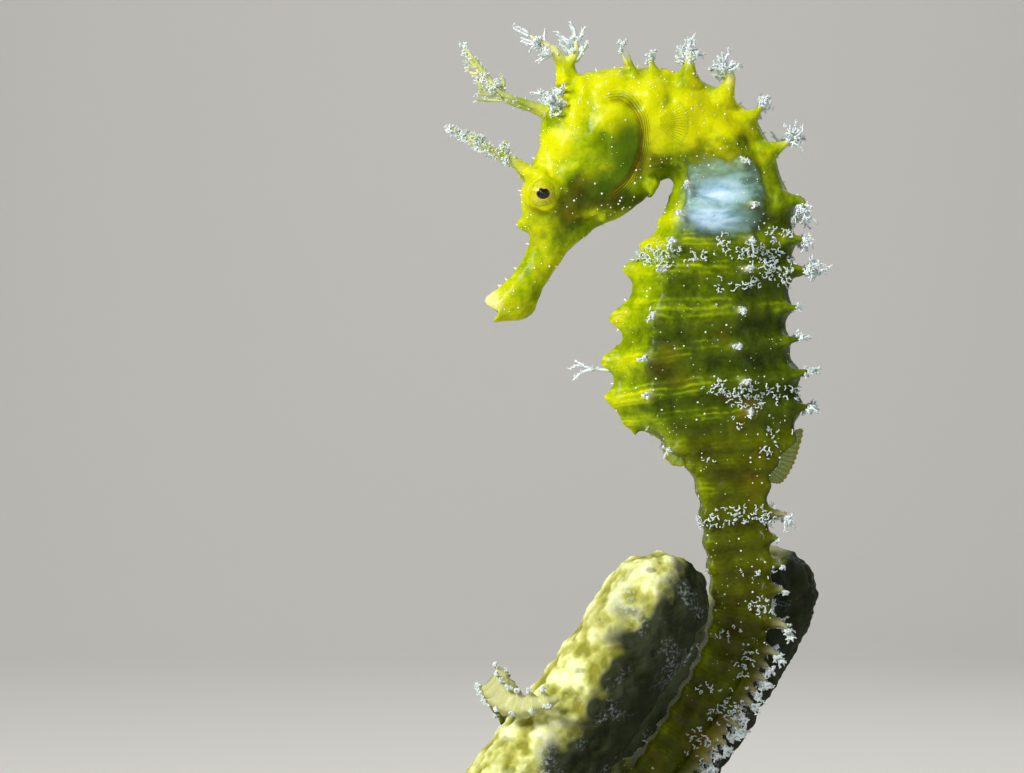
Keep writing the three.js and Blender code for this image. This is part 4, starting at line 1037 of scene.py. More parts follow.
def build_skin(context):
    """The whole skin: closed parts fused on a fine grid, smoothed, then sculpted."""
    rough = linked("rough_skin", skin_surface().mesh("rough_skin", 1))
    fuse = rough.modifiers.new("fuse", "REMESH")
    fuse.mode = "VOXEL"
    fuse.voxel_size = context.scene.seahorse_sizes.skin_grain / MM
    evaluated = rough.evaluated_get(context.evaluated_depsgraph_get())
    mesh = bpy.data.meshes.new_from_object(evaluated)
    bpy.data.objects.remove(rough)
    mesh.name = "skin"
    points, edges, _ = mesh_arrays(mesh, 1)
    points = relaxed(points, edges, 3)
    ring, p, q = body_coordinates(points)
    keel = ease(-p, 0.5, 0.75) * ease(ring, 3, 4) * (1 - ease(ring, 11, 12))
    keel *= (1 - ease(np.hypot(p, q), 1.15, 1.35))
    points += (relaxed(points, edges, 30) - points) * keel[:, None]
    move_vertices(mesh, points)
    points, _, normals = mesh_arrays(mesh)
    ring, p, q = body_coordinates(points)
    move, masks = sculpt(points, ring, p, q)
    points, masks["gape"] = open_mouth(points + normals * move[:, None])
    move_vertices(mesh, points)
    mesh.shade_smooth()
    set_attributes(mesh, masks)
    points, _, normals = mesh_arrays(mesh)
    BUILT["skin"] = {"points": points, "normals": normals, "ring": ring, "p": p, "q": q}
    return mesh


def built_skin():
    """The skin's vertices, their normals and their places on the body, once it is built."""
    if "skin" not in BUILT:
        raise RuntimeError("build the skin before what grows on it")
    return BUILT["skin"]


def skin_sites(spacing, chance, seed):
    """Places, normals and unwrap places of skin vertices about a spacing apart in mm: one from
    each cell of a jittered grid, kept by its chance."""
    skin = built_skin()
    rng = np.random.default_rng(seed)
    points = skin["points"]
    cells = np.floor((points + rng.uniform(0, spacing, 3)) / spacing).astype(np.int64)
    key = cells[:, 0] * 1000003 + cells[:, 1] * 1009 + cells[:, 2]
    order = rng.permutation(len(points))
    _, first = np.unique(key[order], return_index=True)
    picked = order[first]
    picked = picked[rng.random(len(picked)) < chance(picked)]
    return points[picked], skin["normals"][picked], unwrap(picked)


def unwrap(picked):
    """Places of vertices on the skin's own unwrap: along the body by ring number, round it by the
    angle in its section."""
    skin = built_skin()
    along = (skin["ring"][picked] + FIRST_RING) / (FIRST_RING + TAIL_JOIN_RING + TAIL_LAST + 1)
    round_it = np.arctan2(skin["q"][picked], skin["p"][picked]) / (2 * np.pi) + 0.5
    return np.stack([along, round_it], -1) * 0.99


def nearest_skin(points):
    """The skin vertex nearest to each of a few points, in mm."""
    skin = built_skin()["points"]
    return np.array([((skin - point) ** 2).sum(1).argmin() for point in points])


# -------------------------------- tufts and dots


def twig_surface(surface, roots, directions, lengths, radii, uvs, rng, curl=0.4, rows=5, knob=0.0):
    """Adds tapering twigs. Each leaves its root along its direction, bends to a random side by
    the square of the distance, and ends in a knob. Gives paths, tangents and uvs."""
    t = np.linspace(0, 1, rows)
    bend = rng.normal(size=(len(roots), 3))
    bend = unit(bend - directions * (bend * directions).sum(1, keepdims=True))
    reach = lengths[:, None, None]
    path = (roots[:, None] + directions[:, None] * reach * t[:, None]
            + bend[:, None] * reach * curl * t[:, None] ** 2)
    tangent = unit(directions[:, None] + bend[:, None] * (2 * curl * t[:, None]))
    width = np.reshape(radii, (-1, 1)) * (1 - 0.55 * t + knob * bell(t - 0.9, 0.12))
    width[:, -1] *= 0.5
    return thread_surface(surface, path, tangent, bend, width, uvs)


def curl_surface(surface, roots, normals, radii, uvs, rng, rows=13):
    """Adds beaded curls on the skin: arcs of 0.15 to 0.4 mm radius, up to two thirds of a circle
    long, that lift off as they go and swell at every third row."""
    n = len(roots)
    t = np.linspace(0, 1, rows)
    across = rng.normal(size=(n, 3))
    across = unit(across - normals * (across * normals).sum(1, keepdims=True))
    over = np.cross(normals, across)
    swing = rng.uniform(1.0, 4.2, n)[:, None] * t
    loop = rng.uniform(0.15, 0.4, n)[:, None] * (1 - 0.3 * t)
    lift = (rng.uniform(0.15, 0.8, n)[:, None] * t)[..., None] - 0.05
    path = (roots[:, None] + across[:, None] * (loop * np.sin(swing))[..., None]
            + over[:, None] * (loop * (1 - np.cos(swing)))[..., None] + normals[:, None] * lift)
    tangent = unit(np.gradient(path, axis=1))
    width = radii[:, None] * (1 - 0.35 * t) * np.where(np.arange(rows) % 3 == 1, 1.35, 0.8)
    width[:, -1] *= 0.5
    return thread_surface(surface, path, tangent, normals, width, uvs)


def thread_surface(surface, path, tangent, aside, width, uvs):
    """Adds closed four-sided threads along paths, each with a small patch of the unwrap round its
    place. Gives paths, tangents and uvs."""
    n, rows = path.shape[:2]
    across = unit(np.cross(tangent, aside[:, None] + 1e-3))
    points = path[:, :, None] + circle(across, np.cross(tangent, across), 4) * width[..., None, None]
    top = 4 * (rows - 1) + np.arange(4)
    faces = np.vstack([wall_quads(rows, 4).reshape(-1, 4), [[3, 2, 1, 0]], [top]])
    quads = faces + np.arange(n)[:, None, None] * 4 * rows
    angle = np.linspace(0, 2 * np.pi, 4, endpoint=False)
    t = np.linspace(0, 1, rows)
    corner = np.stack(np.broadcast_arrays(np.cos(angle)[None], t[:, None]), -1) * PATCH_UV
    surface.add(points, quads, uvs=uvs[:, None, None] + corner)
    return path, tangent, uvs


def side_twigs(surface, parents, rng, per, spread, low, length, radius, sizes=None, **form):
    """Adds side twigs: per on each parent, at random past low of its length, turned from it at
    random by spread, with a range of lengths that grow with any sizes given."""
    path, tangent, uvs = parents
    n, rows = path.shape[:2]
    parent = np.repeat(np.arange(n), per)
    place_on = rng.uniform(low, 1, len(parent)) * (rows - 1)
    i = np.minimum(place_on.astype(int), rows - 2)
    f = (place_on - i)[:, None]
    roots = path[parent, i] * (1 - f) + path[parent, i + 1] * f
    aims = unit(tangent[parent, i] + spread * rng.normal(size=(len(parent), 3)))
    lengths = rng.uniform(*length, len(parent))
    if sizes is not None:
        lengths = 0.1 + sizes[parent] * lengths
    return twig_surface(surface, roots, aims, lengths, radius, uvs[parent], rng, **form)


def tuft_surface(surface, roots, directions, sizes, hangs, uvs, rng, stem_count):
    """Adds branching tufts: stems that fan out of each root, side twigs, and knobbed tips."""
    sizes = TUFT_SCALE * sizes
    count = np.maximum((stem_count * np.minimum(sizes, 1.4)).astype(int), 3)
    owner = np.repeat(np.arange(len(roots)), count)
    size = sizes[owner]
    aims = directions[owner] + 0.5 * rng.normal(size=(len(owner), 3)) - UP * hangs[owner, None]
    start = roots[owner] + 0.14 * rng.normal(size=(len(owner), 3)) * size[:, None]
    start -= directions[owner] * size[:, None] * rng.uniform(0, 0.8, (len(owner), 1))
    lengths = size * rng.uniform(0.6, 1.35, len(owner))
    stems = twig_surface(surface, start, unit(aims), lengths, 0.14 + 0.06 * size, uvs[owner], rng, 0.7)
    twigs = side_twigs(surface, stems, rng, 6, 0.9, 0.1, (0.15, 0.35), 0.13, size, rows=4, knob=0.7)
    side_twigs(surface, twigs, rng, 3, 1.0, 0.4, (0.12, 0.26), 0.11, rows=3, knob=1.5)


def spine_tufts():
    """Root, direction, size, hang and unwrap place of the tuft at the end of each spine."""
    starts, bends, tips, forms = spine_list()
    blunt = (forms[:, 1] == 0) & (np.abs(tips[:, 1]) > 1)
    forms[blunt, 1] = NODULE_TUFT
    sizes, hangs = forms[:, 1], forms[:, 2]
    roots = starts + (tips - starts) * np.where(blunt, 0.9, stalk_share(sizes))[:, None]
    has = sizes > 0
    roots = roots[has]
    return roots, unit(tips - bends)[has], sizes[has], hangs[has], unwrap(nearest_skin(roots))


def head_tufts():
    """The same for the tufts of the coronet and the head's filaments, on both sides."""
    rows = [(*mirrored(root, side), *mirrored(aim, side), size, hang)
            for side in SIDES.values() for root, aim, size, hang in HEAD_TUFTS]
    table = np.array(rows)
    roots = table[:, :3].copy()
    return roots, unit(table[:, 3:6].copy()), table[:, 6], table[:, 7], unwrap(nearest_skin(roots))


def coronet_twigs(surface, rng):
    """Adds the coronet's twigs, with finer twigs off them."""
    rows = 12
    path = np.array([catmull(mirrored(points, side), np.linspace(0, 2, rows))
                     for side in SIDES.values() for points in CORONET_TWIGS])
    twigs = thread_surface(surface, path, unit(np.gradient(path, axis=1)), RIGHT[None],
                           np.linspace(0.24, 0.11, rows)[None], unwrap(nearest_skin(path[:, 0])))
    twigs = side_twigs(surface, twigs, rng, 7, 0.7, 0.3, (0.15, 0.45), 0.1, knob=0.6)
    side_twigs(surface, twigs, rng, 2, 0.9, 0.3, (0.12, 0.3), 0.08, rows=4, knob=1.0)


def cirri_chance(picked):
    """The chance of a small cirrus: high in clumps and pale bands on the trunk and tail."""
    skin = built_skin()
    points = skin["points"][picked]
    ring = skin["ring"][picked]
    x, _, z = points.T
    chance = np.zeros(len(picked))
    for centre_x, centre_z, wide, tall, strength in CIRRI_CLUMPS:
        spread = ((x - centre_x) / wide) ** 2 + ((z - centre_z - 0.08 * (x - centre_x)) / tall) ** 2
        chance = np.maximum(chance, strength * np.exp(-spread**2))
    patchy = value_noise(points * 0.9, 11)
    grown = chance * (0.3 + 0.7 * ease(patchy, 0.3, 0.6)) * (ring > 1.5) * (ring < 30)
    return grown + 0.002 * (ring > 3)


def build_cirri(seed, side):
    """Small cirri in clumps on one side of the skin: beaded curls with a few side twigs."""
    surface = Surface()
    rng = np.random.default_rng(seed)
    points, normals, uvs = skin_sites(0.42, cirri_chance, seed)
    own = points[:, 1] * side >= 0
    points, normals, uvs = points[own], normals[own], uvs[own]
    normals = unit(normals + 0.35 * rng.normal(size=normals.shape))
    curls = curl_surface(surface, points, normals, rng.uniform(0.07, 0.11, len(points)), uvs, rng)
    side_twigs(surface, curls, rng, 2, 1.0, 0.2, (0.12, 0.32), 0.08, rows=4, knob=1.0)
    return surface


def filament_crust(surface, rng):
    """Adds fine twigs all along the head's filaments, thickest on the brow's."""
    last = 79
    for (name, limbs), side in itertools.product(FILAMENTS.items(), SIDES.values()):
        for points, radii in limbs:
            line, tangents, length = even_curve(mirrored(points, side), last + 1)
            picked = rng.integers(12, last, int(CRUST_PER_MM[name] * length))
            along = tangents[picked]
            out = rng.normal(size=(len(picked), 3))
            out = unit(out - along * (out * along).sum(1, keepdims=True))
            width = np.interp(picked / last, np.linspace(0, 1, len(radii)), radii)
            roots = line[picked] + out * (width * 0.8)[:, None]
            uvs = unwrap(nearest_skin(mirrored(points[:1], side)))
            twigs = twig_surface(surface, roots, unit(out + 0.5 * along),
                                 rng.uniform(0.2, 0.5, len(picked)), 0.1,
                                 np.repeat(uvs, len(picked), axis=0), rng, rows=4, knob=0.7)
            side_twigs(surface, twigs, rng, 2, 0.9, 0.3, (0.12, 0.28), 0.08, rows=4, knob=1.0)


def wart_chance(picked):
    """The chance of a wart: by ring, in patches, with none at the tip of the snout."""
    skin = built_skin()
    ring = skin["ring"][picked]
    patchy = value_noise(skin["points"][picked] * 0.5, 21)
    share = np.interp(ring, WART_RINGS, WART_SHARES)
    return share * ease(patchy, 0.25, 0.7) * (ring > -12.6)


def build_warts(radius, seed):
    """White warts: low round six-sided buttons set on the skin, and tall ones for the nibs."""
    surface = Surface()
    rng = np.random.default_rng(seed)
    points, normals, uvs = skin_sites(0.85, wart_chance, seed)
    eye = np.linalg.norm(np.abs(points) - np.array(EYE_CENTRE) * [-1, 1, 1], axis=1)
    keep = eye > EYE_RADIUS + 0.5
    skin = built_skin()
    nibs = nearest_skin(np.insert(np.array(NIBS), 1, 0, axis=1))
    points = np.vstack([points[keep], skin["points"][nibs]])
    normals = np.vstack([normals[keep], skin["normals"][nibs]])
    uvs = np.vstack([uvs[keep], unwrap(nibs)])
    size = radius / MM * (0.45 + rng.random(len(points)) ** 3 * 0.9)
    size[-len(nibs):] = radius / MM
    tall = np.ones(len(points))
    tall[-len(nibs):] = NIB_HEIGHT
    across = unit(np.cross(normals, [0.3, 0.5, 0.8]))
    flat = circle(across, np.cross(normals, across), 6)
    rows = (points[:, None, None] + size[:, None, None, None] * (
        flat[:, None] * np.array(WART_WIDTHS)[:, None, None]
        + normals[:, None, None] * np.array(WART_HEIGHTS)[:, None, None] * tall[:, None, None, None]))
    caps = np.array([[3, 2, 1, 0], [5, 4, 3, 0], [18, 19, 20, 21], [18, 21, 22, 23]])
    faces = np.vstack([wall_quads(4, 6).reshape(-1, 4), caps])
    quads = faces + np.arange(len(points))[:, None, None] * 24
    corner = np.broadcast_to(circle(np.array([1.0, 0]), np.array([0, 1.0]), 6) * PATCH_UV, (4, 6, 2))
    surface.add(rows, quads, uvs=uvs[:, None, None] + corner)
    return surface


# -------------------------------- eyes, filaments and fins


def eye_surface(side):
    """An eyeball as circles stacked along the line of sight, its front bulging as a cornea does."""
    surface = Surface()
    angle = np.linspace(0.02, np.pi - 0.02, 90)
    radius = EYE_RADIUS * (1 + 0.035 * ease(-angle, -0.75, -0.45))
    path = mirrored(EYE_CENTRE, side) + RIGHT * (side * radius * np.cos(angle))[:, None]
    surface.tube(around(path, np.tile(RIGHT, (len(angle), 1)), radius * np.sin(angle), 96))
    return surface


def eye_masks(mesh):
    """Distance from the line of sight in mm, the same for the oval pupil with its notch, and a fan
    of streaks round it."""
    points, _, _ = mesh_arrays(mesh)
    dx, dz = points[:, 0] - EYE_CENTRE[0], points[:, 2] - EYE_CENTRE[2]
    turn = np.arctan2(dz, dx)
    far = np.hypot(dx, dz)
    front = np.abs(points[:, 1]) > EYE_CENTRE[1]
    notch = bell(np.hypot(dx - 0.08, dz - 0.66), 0.17)
    fan = np.stack([np.cos(turn) * 9, np.sin(turn) * 9, far * 0.8], -1)
    return {"far": np.where(front, far, EYE_RADIUS), "oval": np.hypot(dx, dz * 1.16) + 0.3 * notch,
            "spokes": value_noise(fan, 31)}


def filament_surface(name, side):
    """A fleshy filament of the head: tapering limbs whose width swells and pinches a little."""
    surface = Surface()
    for points, radii in FILAMENTS[name]:
        rows = limb_rows(mirrored(points, side), radii, 12, 0.1)
        middle = rows.mean(1, keepdims=True)
        pinch = 1 + 0.16 * (value_noise(middle[:, 0] * 2.2, 41) - 0.5)
        surface.tube(middle + (rows - middle) * pinch[:, None, None])
    return surface


def fin_surface(inner, outer, rays, swing=lambda points: points):
    """A thin fin between a root line and an outer edge, each ray a ridge on the membrane and the
    edge drawn in between rays, and its masks."""
    surface = Surface()
    across = np.linspace(0, 1, rays * 14)
    out = np.linspace(0, 1, 26)
    root = catmull(inner, across * (len(inner) - 1))
    edge = catmull(outer, across * (len(outer) - 1))
    ray = np.abs(np.cos(np.pi * rays * across))
    drawn_in = 1 - 0.05 * (1 - ray) ** 0.8
    flat = root[:, None] + (edge - root)[:, None] * (out * drawn_in[:, None])[..., None]
    ridge = FIN_HALF + FIN_RIDGE * ray[:, None] ** 5 * (1 - 0.6 * out) + 0.05 * bell(out - 0.98, 0.05)
    ridge *= np.where(out > 0.999, 0.3, 1)
    near, far = (np.stack([flat[..., 0], hand * ridge, flat[..., 1]], -1) for hand in (-1, 1))
    surface.tube(swing(np.concatenate([near, far[:, ::-1]], axis=1)))
    column = np.concatenate([out, out[::-1]])
    ray, margin = np.broadcast_arrays(ray[:, None] ** 4, ease(column, 0.82, 0.95))
    return surface, {"ray": np.append(ray, [1, 1]), "margin": np.append(margin, [1, 1])}


def pectoral_surface(side):
    """A pectoral fin: a fan of rays round its root, flared from the body about the root."""
    angle = np.linspace(PECTORAL_SPREAD[0], PECTORAL_SPREAD[1], 9)
    fan = np.stack([np.cos(angle), np.sin(angle)], -1)
    inner = np.array(PECTORAL_ROOT) + fan * [0.5, 0.9]
    outer = np.array(PECTORAL_ROOT) + fan * PECTORAL_RADIUS * 0.985

    def swing(points):
        """Turned about the upright line through the root, and rippled a little along its edge."""
        dx = points[..., 0] - PECTORAL_ROOT[0]
        ripple = 0.12 * np.sin(points[..., 2] * 2.4) * ease(dx, 1, 4)
        y = points[..., 1] + ripple
        c, s = math.cos(PECTORAL_FLARE), math.sin(PECTORAL_FLARE) * side
        x = PECTORAL_ROOT[0] + dx * c - y * s
        return np.stack([x, dx * s + y * c + side * PECTORAL_OUT, points[..., 2]], -1)

    return fin_surface(inner, outer, FIN_RAYS["pectoral"], swing)


# -------------------------------- sponge and stand


def sponge_surface(path, radius, seed, painted_shadow):
    """A round-ended branch of sponge, thrown into knobbles and pitted by pores, and its masks."""
    surface = Surface()
    line, tangents, _ = even_curve(path, 330)
    cap = np.linspace(np.pi / 2, 0.02, 50)[::-1]
    start = line[:1] - tangents[:1] * radius * np.cos(cap)[:, None]
    widths = radius * (1 + BRANCH_SWELL * np.sin(np.pi * np.linspace(0, 1, len(line))))
    centres = np.vstack([start[:-1], line])
    directions = np.vstack([np.tile(tangents[:1], (len(cap) - 1, 1)), tangents])
    radii = np.concatenate([radius * np.sin(cap)[:-1], widths])
    rows = around(centres, directions, radii - KNOBBLE_ROOM, SPONGE_SIDES)
    points = rows.reshape(-1, 3)
    back = -(len(cap) - np.arange(len(centres))).clip(0)[:, None] / len(cap) * radius * 0.9
    normals = unit(points - np.repeat(centres, SPONGE_SIDES, axis=0)
                   + np.repeat(directions * back, SPONGE_SIDES, axis=0))
    broad = value_noise(points * 0.16, seed) - 0.5
    knob = value_noise(points * 0.62, seed + 1)
    fine = value_noise(points * 1.5, seed + 2)
    grit = value_noise(points * 3.1, seed + 3)
    pore = ease(-value_noise(points * 0.85, seed + 4), -0.26, -0.12)
    move = 0.6 * broad + 0.8 * (knob - 0.5) + 0.34 * (fine - 0.5) + 0.14 * (grit - 0.5) - 0.2 * pore
    points = points + normals * np.minimum(move, KNOBBLE_RISE)[:, None]
    surface.tube(points.reshape(rows.shape))
    # Painted shade: the side facing away from the key light is darkened in knobbly patches, with some dark
    # algae film. A branch given a full shadow share, the rear one, is painted in shadow all over below its
    # top.
    shadowed = normals @ unit(np.array(SPONGE_SHADOWED_SIDE)) + 0.6 * broad + 0.5 * (knob - 0.5)
    painted_shadow = painted_shadow * (1 - ease(points[:, 2], *SHADOW_TOP))
    masks = {"knob": knob * 0.6 + fine * 0.3 + grit * 0.1, "pore": pore, "broad": broad + 0.5,
             "shadowed": np.clip(ease(shadowed, -0.42, -0.02) + painted_shadow, 0, 1)}
    return surface, masks


def lathe_surface(profile, place_at, sides):
    """A turned solid: a profile of radius and height carried round an upright axis."""
    surface = Surface()
    radius, height = np.array(profile).T
    angle = np.linspace(0, 2 * np.pi, sides, endpoint=False)
    rows = np.stack(np.broadcast_arrays(
        place_at[0] + radius[:, None] * np.cos(angle), place_at[1] + radius[:, None] * np.sin(angle),
        height[:, None]), -1)
    surface.tube(rows)
    return surface


def base_profile():
    """The base's edge: an eased foot, a hollow waist between two beads, and a rounded top rim."""
    turn = np.linspace(0, np.pi / 2, 9)
    foot = np.stack([BASE_RADIUS - FOOT_EDGE + FOOT_EDGE * np.sin(turn),
                     FOOT_EDGE - FOOT_EDGE * np.cos(turn)], -1)
    up = np.linspace(0, 1, 13)[1:-1]
    hollow = np.stack([BASE_RADIUS - WAIST_DEPTH * np.sin(np.pi * up), WAIST_FOOT + WAIST_HEIGHT * up], -1)
    rim = np.stack([BASE_RADIUS - BASE_EDGE + BASE_EDGE * np.cos(turn),
                    BASE_HEIGHT - BASE_EDGE + BASE_EDGE * np.sin(turn)], -1)
    top = np.stack([np.linspace(BASE_RADIUS - BASE_EDGE - 0.5, 1, 12), np.full(12, BASE_HEIGHT)], -1)
    return np.vstack([[(1, 0)], foot, hollow, rim, top])


def rod_profile(top):
    """A rod's end-to-end profile with its ends eased."""
    bottom = BASE_HEIGHT - ROD_SEAT
    return [(0.05, bottom), (ROD_RADIUS - ROD_EASE, bottom), (ROD_RADIUS, bottom + ROD_EASE),
            (ROD_RADIUS, top - ROD_EASE), (ROD_RADIUS - ROD_EASE, top), (0.05, top)]


# -------------------------------- materials


def linear(hex_colour):
    """An sRGB hex colour as the linear colour that shaders work in, with full opacity."""
    parts = [int(hex_colour[i:i + 2], 16) / 255 for i in (0, 2, 4)]
    return (*(c / 12.92 if c <= 0.04045 else ((c + 0.055) / 1.055) ** 2.4 for c in parts), 1.0)


def node(tree, kind, inputs=(), output=0, **settings):
    """Adds a shader node, its kind named without ShaderNode and with any sum that it does, and
    gives one of its outputs. Inputs are values or outputs, by socket or in the sockets' order."""
    kind, _, operation = kind.partition(" ")
    made = tree.nodes.new("ShaderNode" + kind)
    if operation:
        made.operation = operation
    for name, value in settings.items():
        setattr(made, name, value)
    for name, value in inputs.items() if isinstance(inputs, dict) else enumerate(inputs):
        if isinstance(value, bpy.types.NodeSocket):
            tree.links.new(value, made.inputs[name])
        else:
            made.inputs[name].default_value = value
    return made.outputs[output] if len(made.outputs) else made


def new_material(surface, context):
    """A material named for the function that makes its surface in its tree, in the chosen colours."""
    material = bpy.data.materials.new(surface.__name__)
    material.use_nodes = True
    tree = material.node_tree
    tree.nodes.clear()
    node(tree, "OutputMaterial", {"Surface": surface(tree, chosen_colours(context))})
    return material


def per_mm(size):
    """The scale of a pattern in metres whose lumps are size mm apart."""
    return 1 / (size * MM)


# Sockets 0, 6 and 7 of a mix are its share and its two colours. A MapRange's first sockets are its
# value, the range that it comes from, and the range that it goes to, 0 to 1 where it isn't given.
MIX = {"kind": "Mix", "data_type": "RGBA", "output": 2}
TIMES = "Math MULTIPLY"
PLUS = "Math ADD"
# The first input times the second, plus the third.
TIMES_PLUS = "Math MULTIPLY_ADD"


def wet_seahorse_skin(tree, colours):
    """Wet living skin: thin, slightly translucent and slimy, so highlights are soft. Olive to
    lemon, mottled at 0.5 and 3 mm, with thin yellow ridges on each ring, and fine whorls 0.3 mm
    apart behind the gill cover."""
    place_at = node(tree, "TexCoord", output="Object")
    tone, green, brown, whorl, whorled, phase, ridged, spot, core, tip, lip, gape = (
        node(tree, "Attribute", output="Fac", attribute_name=name)
        for name in ("tone", "green", "brown", "whorl", "whorled", "phase", "ridged", "spot",
                     "core", "tip", "lip", "gape"))
    broad = node(tree, "TexNoise", {"Vector": place_at, "Scale": per_mm(3), "Detail": 3})
    mottle = node(tree, "TexNoise", {"Vector": place_at, "Scale": per_mm(0.5), "Detail": 4})

    # The thin ridges: a cosine of five waves a ring, kept where the ring's own wave is high.
    wavy = node(tree, TIMES_PLUS, (broad, 0.22, phase))
    line = node(tree, "MapRange", (broad, 0.38, 0.6, 0.25))
    for waves, low, high in ((5, -0.6, 1.0), (1, -0.2, 0.6)):
        wave = node(tree, TIMES, (wavy, 2 * math.pi * waves))
        wave = node(tree, "Math COSINE", (wave,))
        wave = node(tree, "MapRange", (wave, low, high))
        line = node(tree, TIMES, (line, wave))
    line = node(tree, TIMES, (line, ridged))
    # The whorls: a sine of the distance from the gill cover's middle, set adrift by the noise.
    swirl = node(tree, TIMES_PLUS, (broad, 0.12, whorl))
    swirl = node(tree, TIMES, (swirl, WHORL_RATE))
    swirl = node(tree, "Math SINE", (swirl,))
    swirl = node(tree, TIMES, (swirl, whorled))

    # The tone attribute holds the skin's own olive to lemon together with painted light on raised relief
    # and painted shade in grooves, on the trunk, the tail and under the head.
    level = tone
    for noise, most in ((broad, 0.08), (mottle, 0.06)):
        shift = node(tree, "MapRange", (noise, 0.3, 0.7, -most, most))
        level = node(tree, PLUS, (level, shift))
    for relief, most in ((line, 0.28), (swirl, 0.1)):
        level = node(tree, TIMES_PLUS, (relief, most, level))
    layers = [(node(tree, "MapRange", (level, low, high)), shade) for low, high, shade in (
        (0.05, 0.35, "olive"), (0.35, 0.68, "moss"), (0.65, 0.95, "lemon"))]
    warm = node(tree, "TexNoise", {"Vector": place_at, "Scale": per_mm(7), "Detail": 2})
    layers += [(node(tree, "MapRange", (warm, 0.55, 0.72, 0, 0.18)), "ochre"),
               (node(tree, TIMES, (green, 0.85)), "gill_green"),
               (node(tree, TIMES, (brown, 0.4)), "ochre")]

    # The flank patch: two level milky cores, blotchy teal round them, and a dark green rim.
    drawn_out = node(tree, "Mapping", {"Vector": place_at, "Scale": (0.35, 1.0, 1.0)})
    streaks = node(tree, "TexNoise", {"Vector": drawn_out, "Scale": per_mm(1.4), "Detail": 4,
                                      "Distortion": 0.6})
    ragged = node(tree, "MapRange", (broad, 0.3, 0.7, -0.24, 0.24))
    spot = node(tree, PLUS, (spot, ragged))
    teal = node(tree, "MapRange", (spot, 1.1, 0.7, 0, 0.85))
    blotch = node(tree, "MapRange", (streaks, 0.42, 0.58, 0.4))
    clear = node(tree, "MapRange", (streaks, 0.3, 0.55, 0.6))
    wisp = node(tree, "MapRange", (streaks, 0.34, 0.66))
    core = node(tree, TIMES, (core, clear))
    layers += [(node(tree, "MapRange", (spot, 1.5, 1.05, 0, 0.75)), "deep"),
               (node(tree, TIMES, (teal, blotch)), "teal"), (core, "patch_blue"),
               (node(tree, TIMES, (core, wisp)), "milk")]

    folds = node(tree, "MapRange", (mottle, 0.4, 0.6, 0.45, 0.95))
    layers += [(node(tree, TIMES, (tip, 0.75)), "cream"),
               (node(tree, TIMES, (lip, folds)), "cream"), (gape, "gullet")]
    colour = colours["deep"]
    for share, shade in layers:
        colour = node(tree, inputs={0: share, 6: colour, 7: colours[shade]}, **MIX)

    pits = node(tree, "TexVoronoi", {"Vector": place_at, "Scale": per_mm(0.42)},
                output="Distance", feature="SMOOTH_F1")
    height = node(tree, PLUS, (pits, mottle))
    normal = node(tree, "Bump", {"Height": height, "Distance": 0.05 * MM, "Strength": 0.8})
    relief = node(tree, PLUS, (line, swirl))
    normal = node(tree, "Bump", {"Height": relief, "Distance": 0.1 * MM, "Normal": normal})
    rough = node(tree, "MapRange", (mottle, 0.3, 0.7, 0.36, 0.54))
    return node(tree, "BsdfPrincipled", {
        "Base Color": colour, "Roughness": rough, "Normal": normal, "IOR": 1.4,
        "Specular IOR Level": 0.03, "Subsurface Weight": 0.1, "Subsurface Radius": (1.0, 0.9, 0.1),
        "Subsurface Scale": 0.4 * MM, "Coat Weight": 0.22, "Coat Roughness": 0.28, "Coat IOR": 1.45})


def wet_golden_eye(tree, colours):
    """A wet eyeball: a black oval pupil, a thin gold ring, then a yellow iris with fine brown
    streaks and rings 0.25 mm apart, under the clear gloss of the cornea."""
    far, oval, spokes = (node(tree, "Attribute", output="Fac", attribute_name=name)
                         for name in ("far", "oval", "spokes"))
    place_at = node(tree, "TexCoord", output="Object")
    cloud = node(tree, "TexNoise", {"Vector": place_at, "Scale": per_mm(0.5), "Detail": 3})
    rings = node(tree, TIMES, (far, 2 * math.pi / 0.25))
    rings = node(tree, "Math SINE", (rings,))
    colour = colours["lemon"]
    for values, shade in (((spokes, 0.5, 0.8, 0, 0.4), "ochre"),
                          ((cloud, 0.45, 0.7, 0, 0.6), "moss"),
                          ((rings, -1, 1, 0, 0.15), "olive"),
                          ((far, 1.4, 1.7, 0, 0.25), "olive"),
                          ((oval, PUPIL_RADIUS + 0.16, PUPIL_RADIUS + 0.08, 0, 0.6), "gold"),
                          ((oval, PUPIL_RADIUS + 0.03, PUPIL_RADIUS - 0.03), "pupil")):
        share = node(tree, "MapRange", values)
        colour = node(tree, inputs={0: share, 6: colour, 7: colours[shade]}, **MIX)
    normal = node(tree, "Bump", {"Height": rings, "Distance": 0.02 * MM})
    return node(tree, "BsdfPrincipled", {
        "Base Color": colour, "Roughness": 0.3, "IOR": 1.38, "Normal": normal, "Coat Weight": 0.8,
        "Coat Roughness": 0.03, "Coat IOR": 1.38})


def filament_flesh(tree, colours):
    """The same skin drawn out thin: lemon at the root, then moss banded with cream."""
    place_at = node(tree, "TexCoord", output="Object")
    out = node(tree, "Attribute", output="Fac", attribute_name="out")
    bands = node(tree, "TexNoise", {"Vector": place_at, "Scale": per_mm(1.3), "Detail": 4})
    banded = node(tree, "MapRange", (bands, 0.35, 0.7, 0.15, 0.85))
    faded = node(tree, "MapRange", (out, 1.0, 8.0, 0.15))
    stem = node(tree, "MapRange", (out, 0.8, 3.0))
    colour = node(tree, inputs={0: stem, 6: colours["lemon"], 7: colours["moss"]}, **MIX)
    share = node(tree, TIMES, (banded, faded))
    colour = node(tree, inputs={0: share, 6: colour, 7: colours["cream"]}, **MIX)
    normal = node(tree, "Bump", {"Height": bands, "Distance": 0.1 * MM})
    return node(tree, "BsdfPrincipled", {
        "Base Color": colour, "Roughness": 0.42, "Normal": normal, "IOR": 1.4,
        "Specular IOR Level": 0.1, "Subsurface Weight": 0.15,
        "Subsurface Radius": (1.0, 0.9, 0.5), "Subsurface Scale": 0.3 * MM,
        "Coat Weight": 0.2, "Coat Roughness": 0.28})


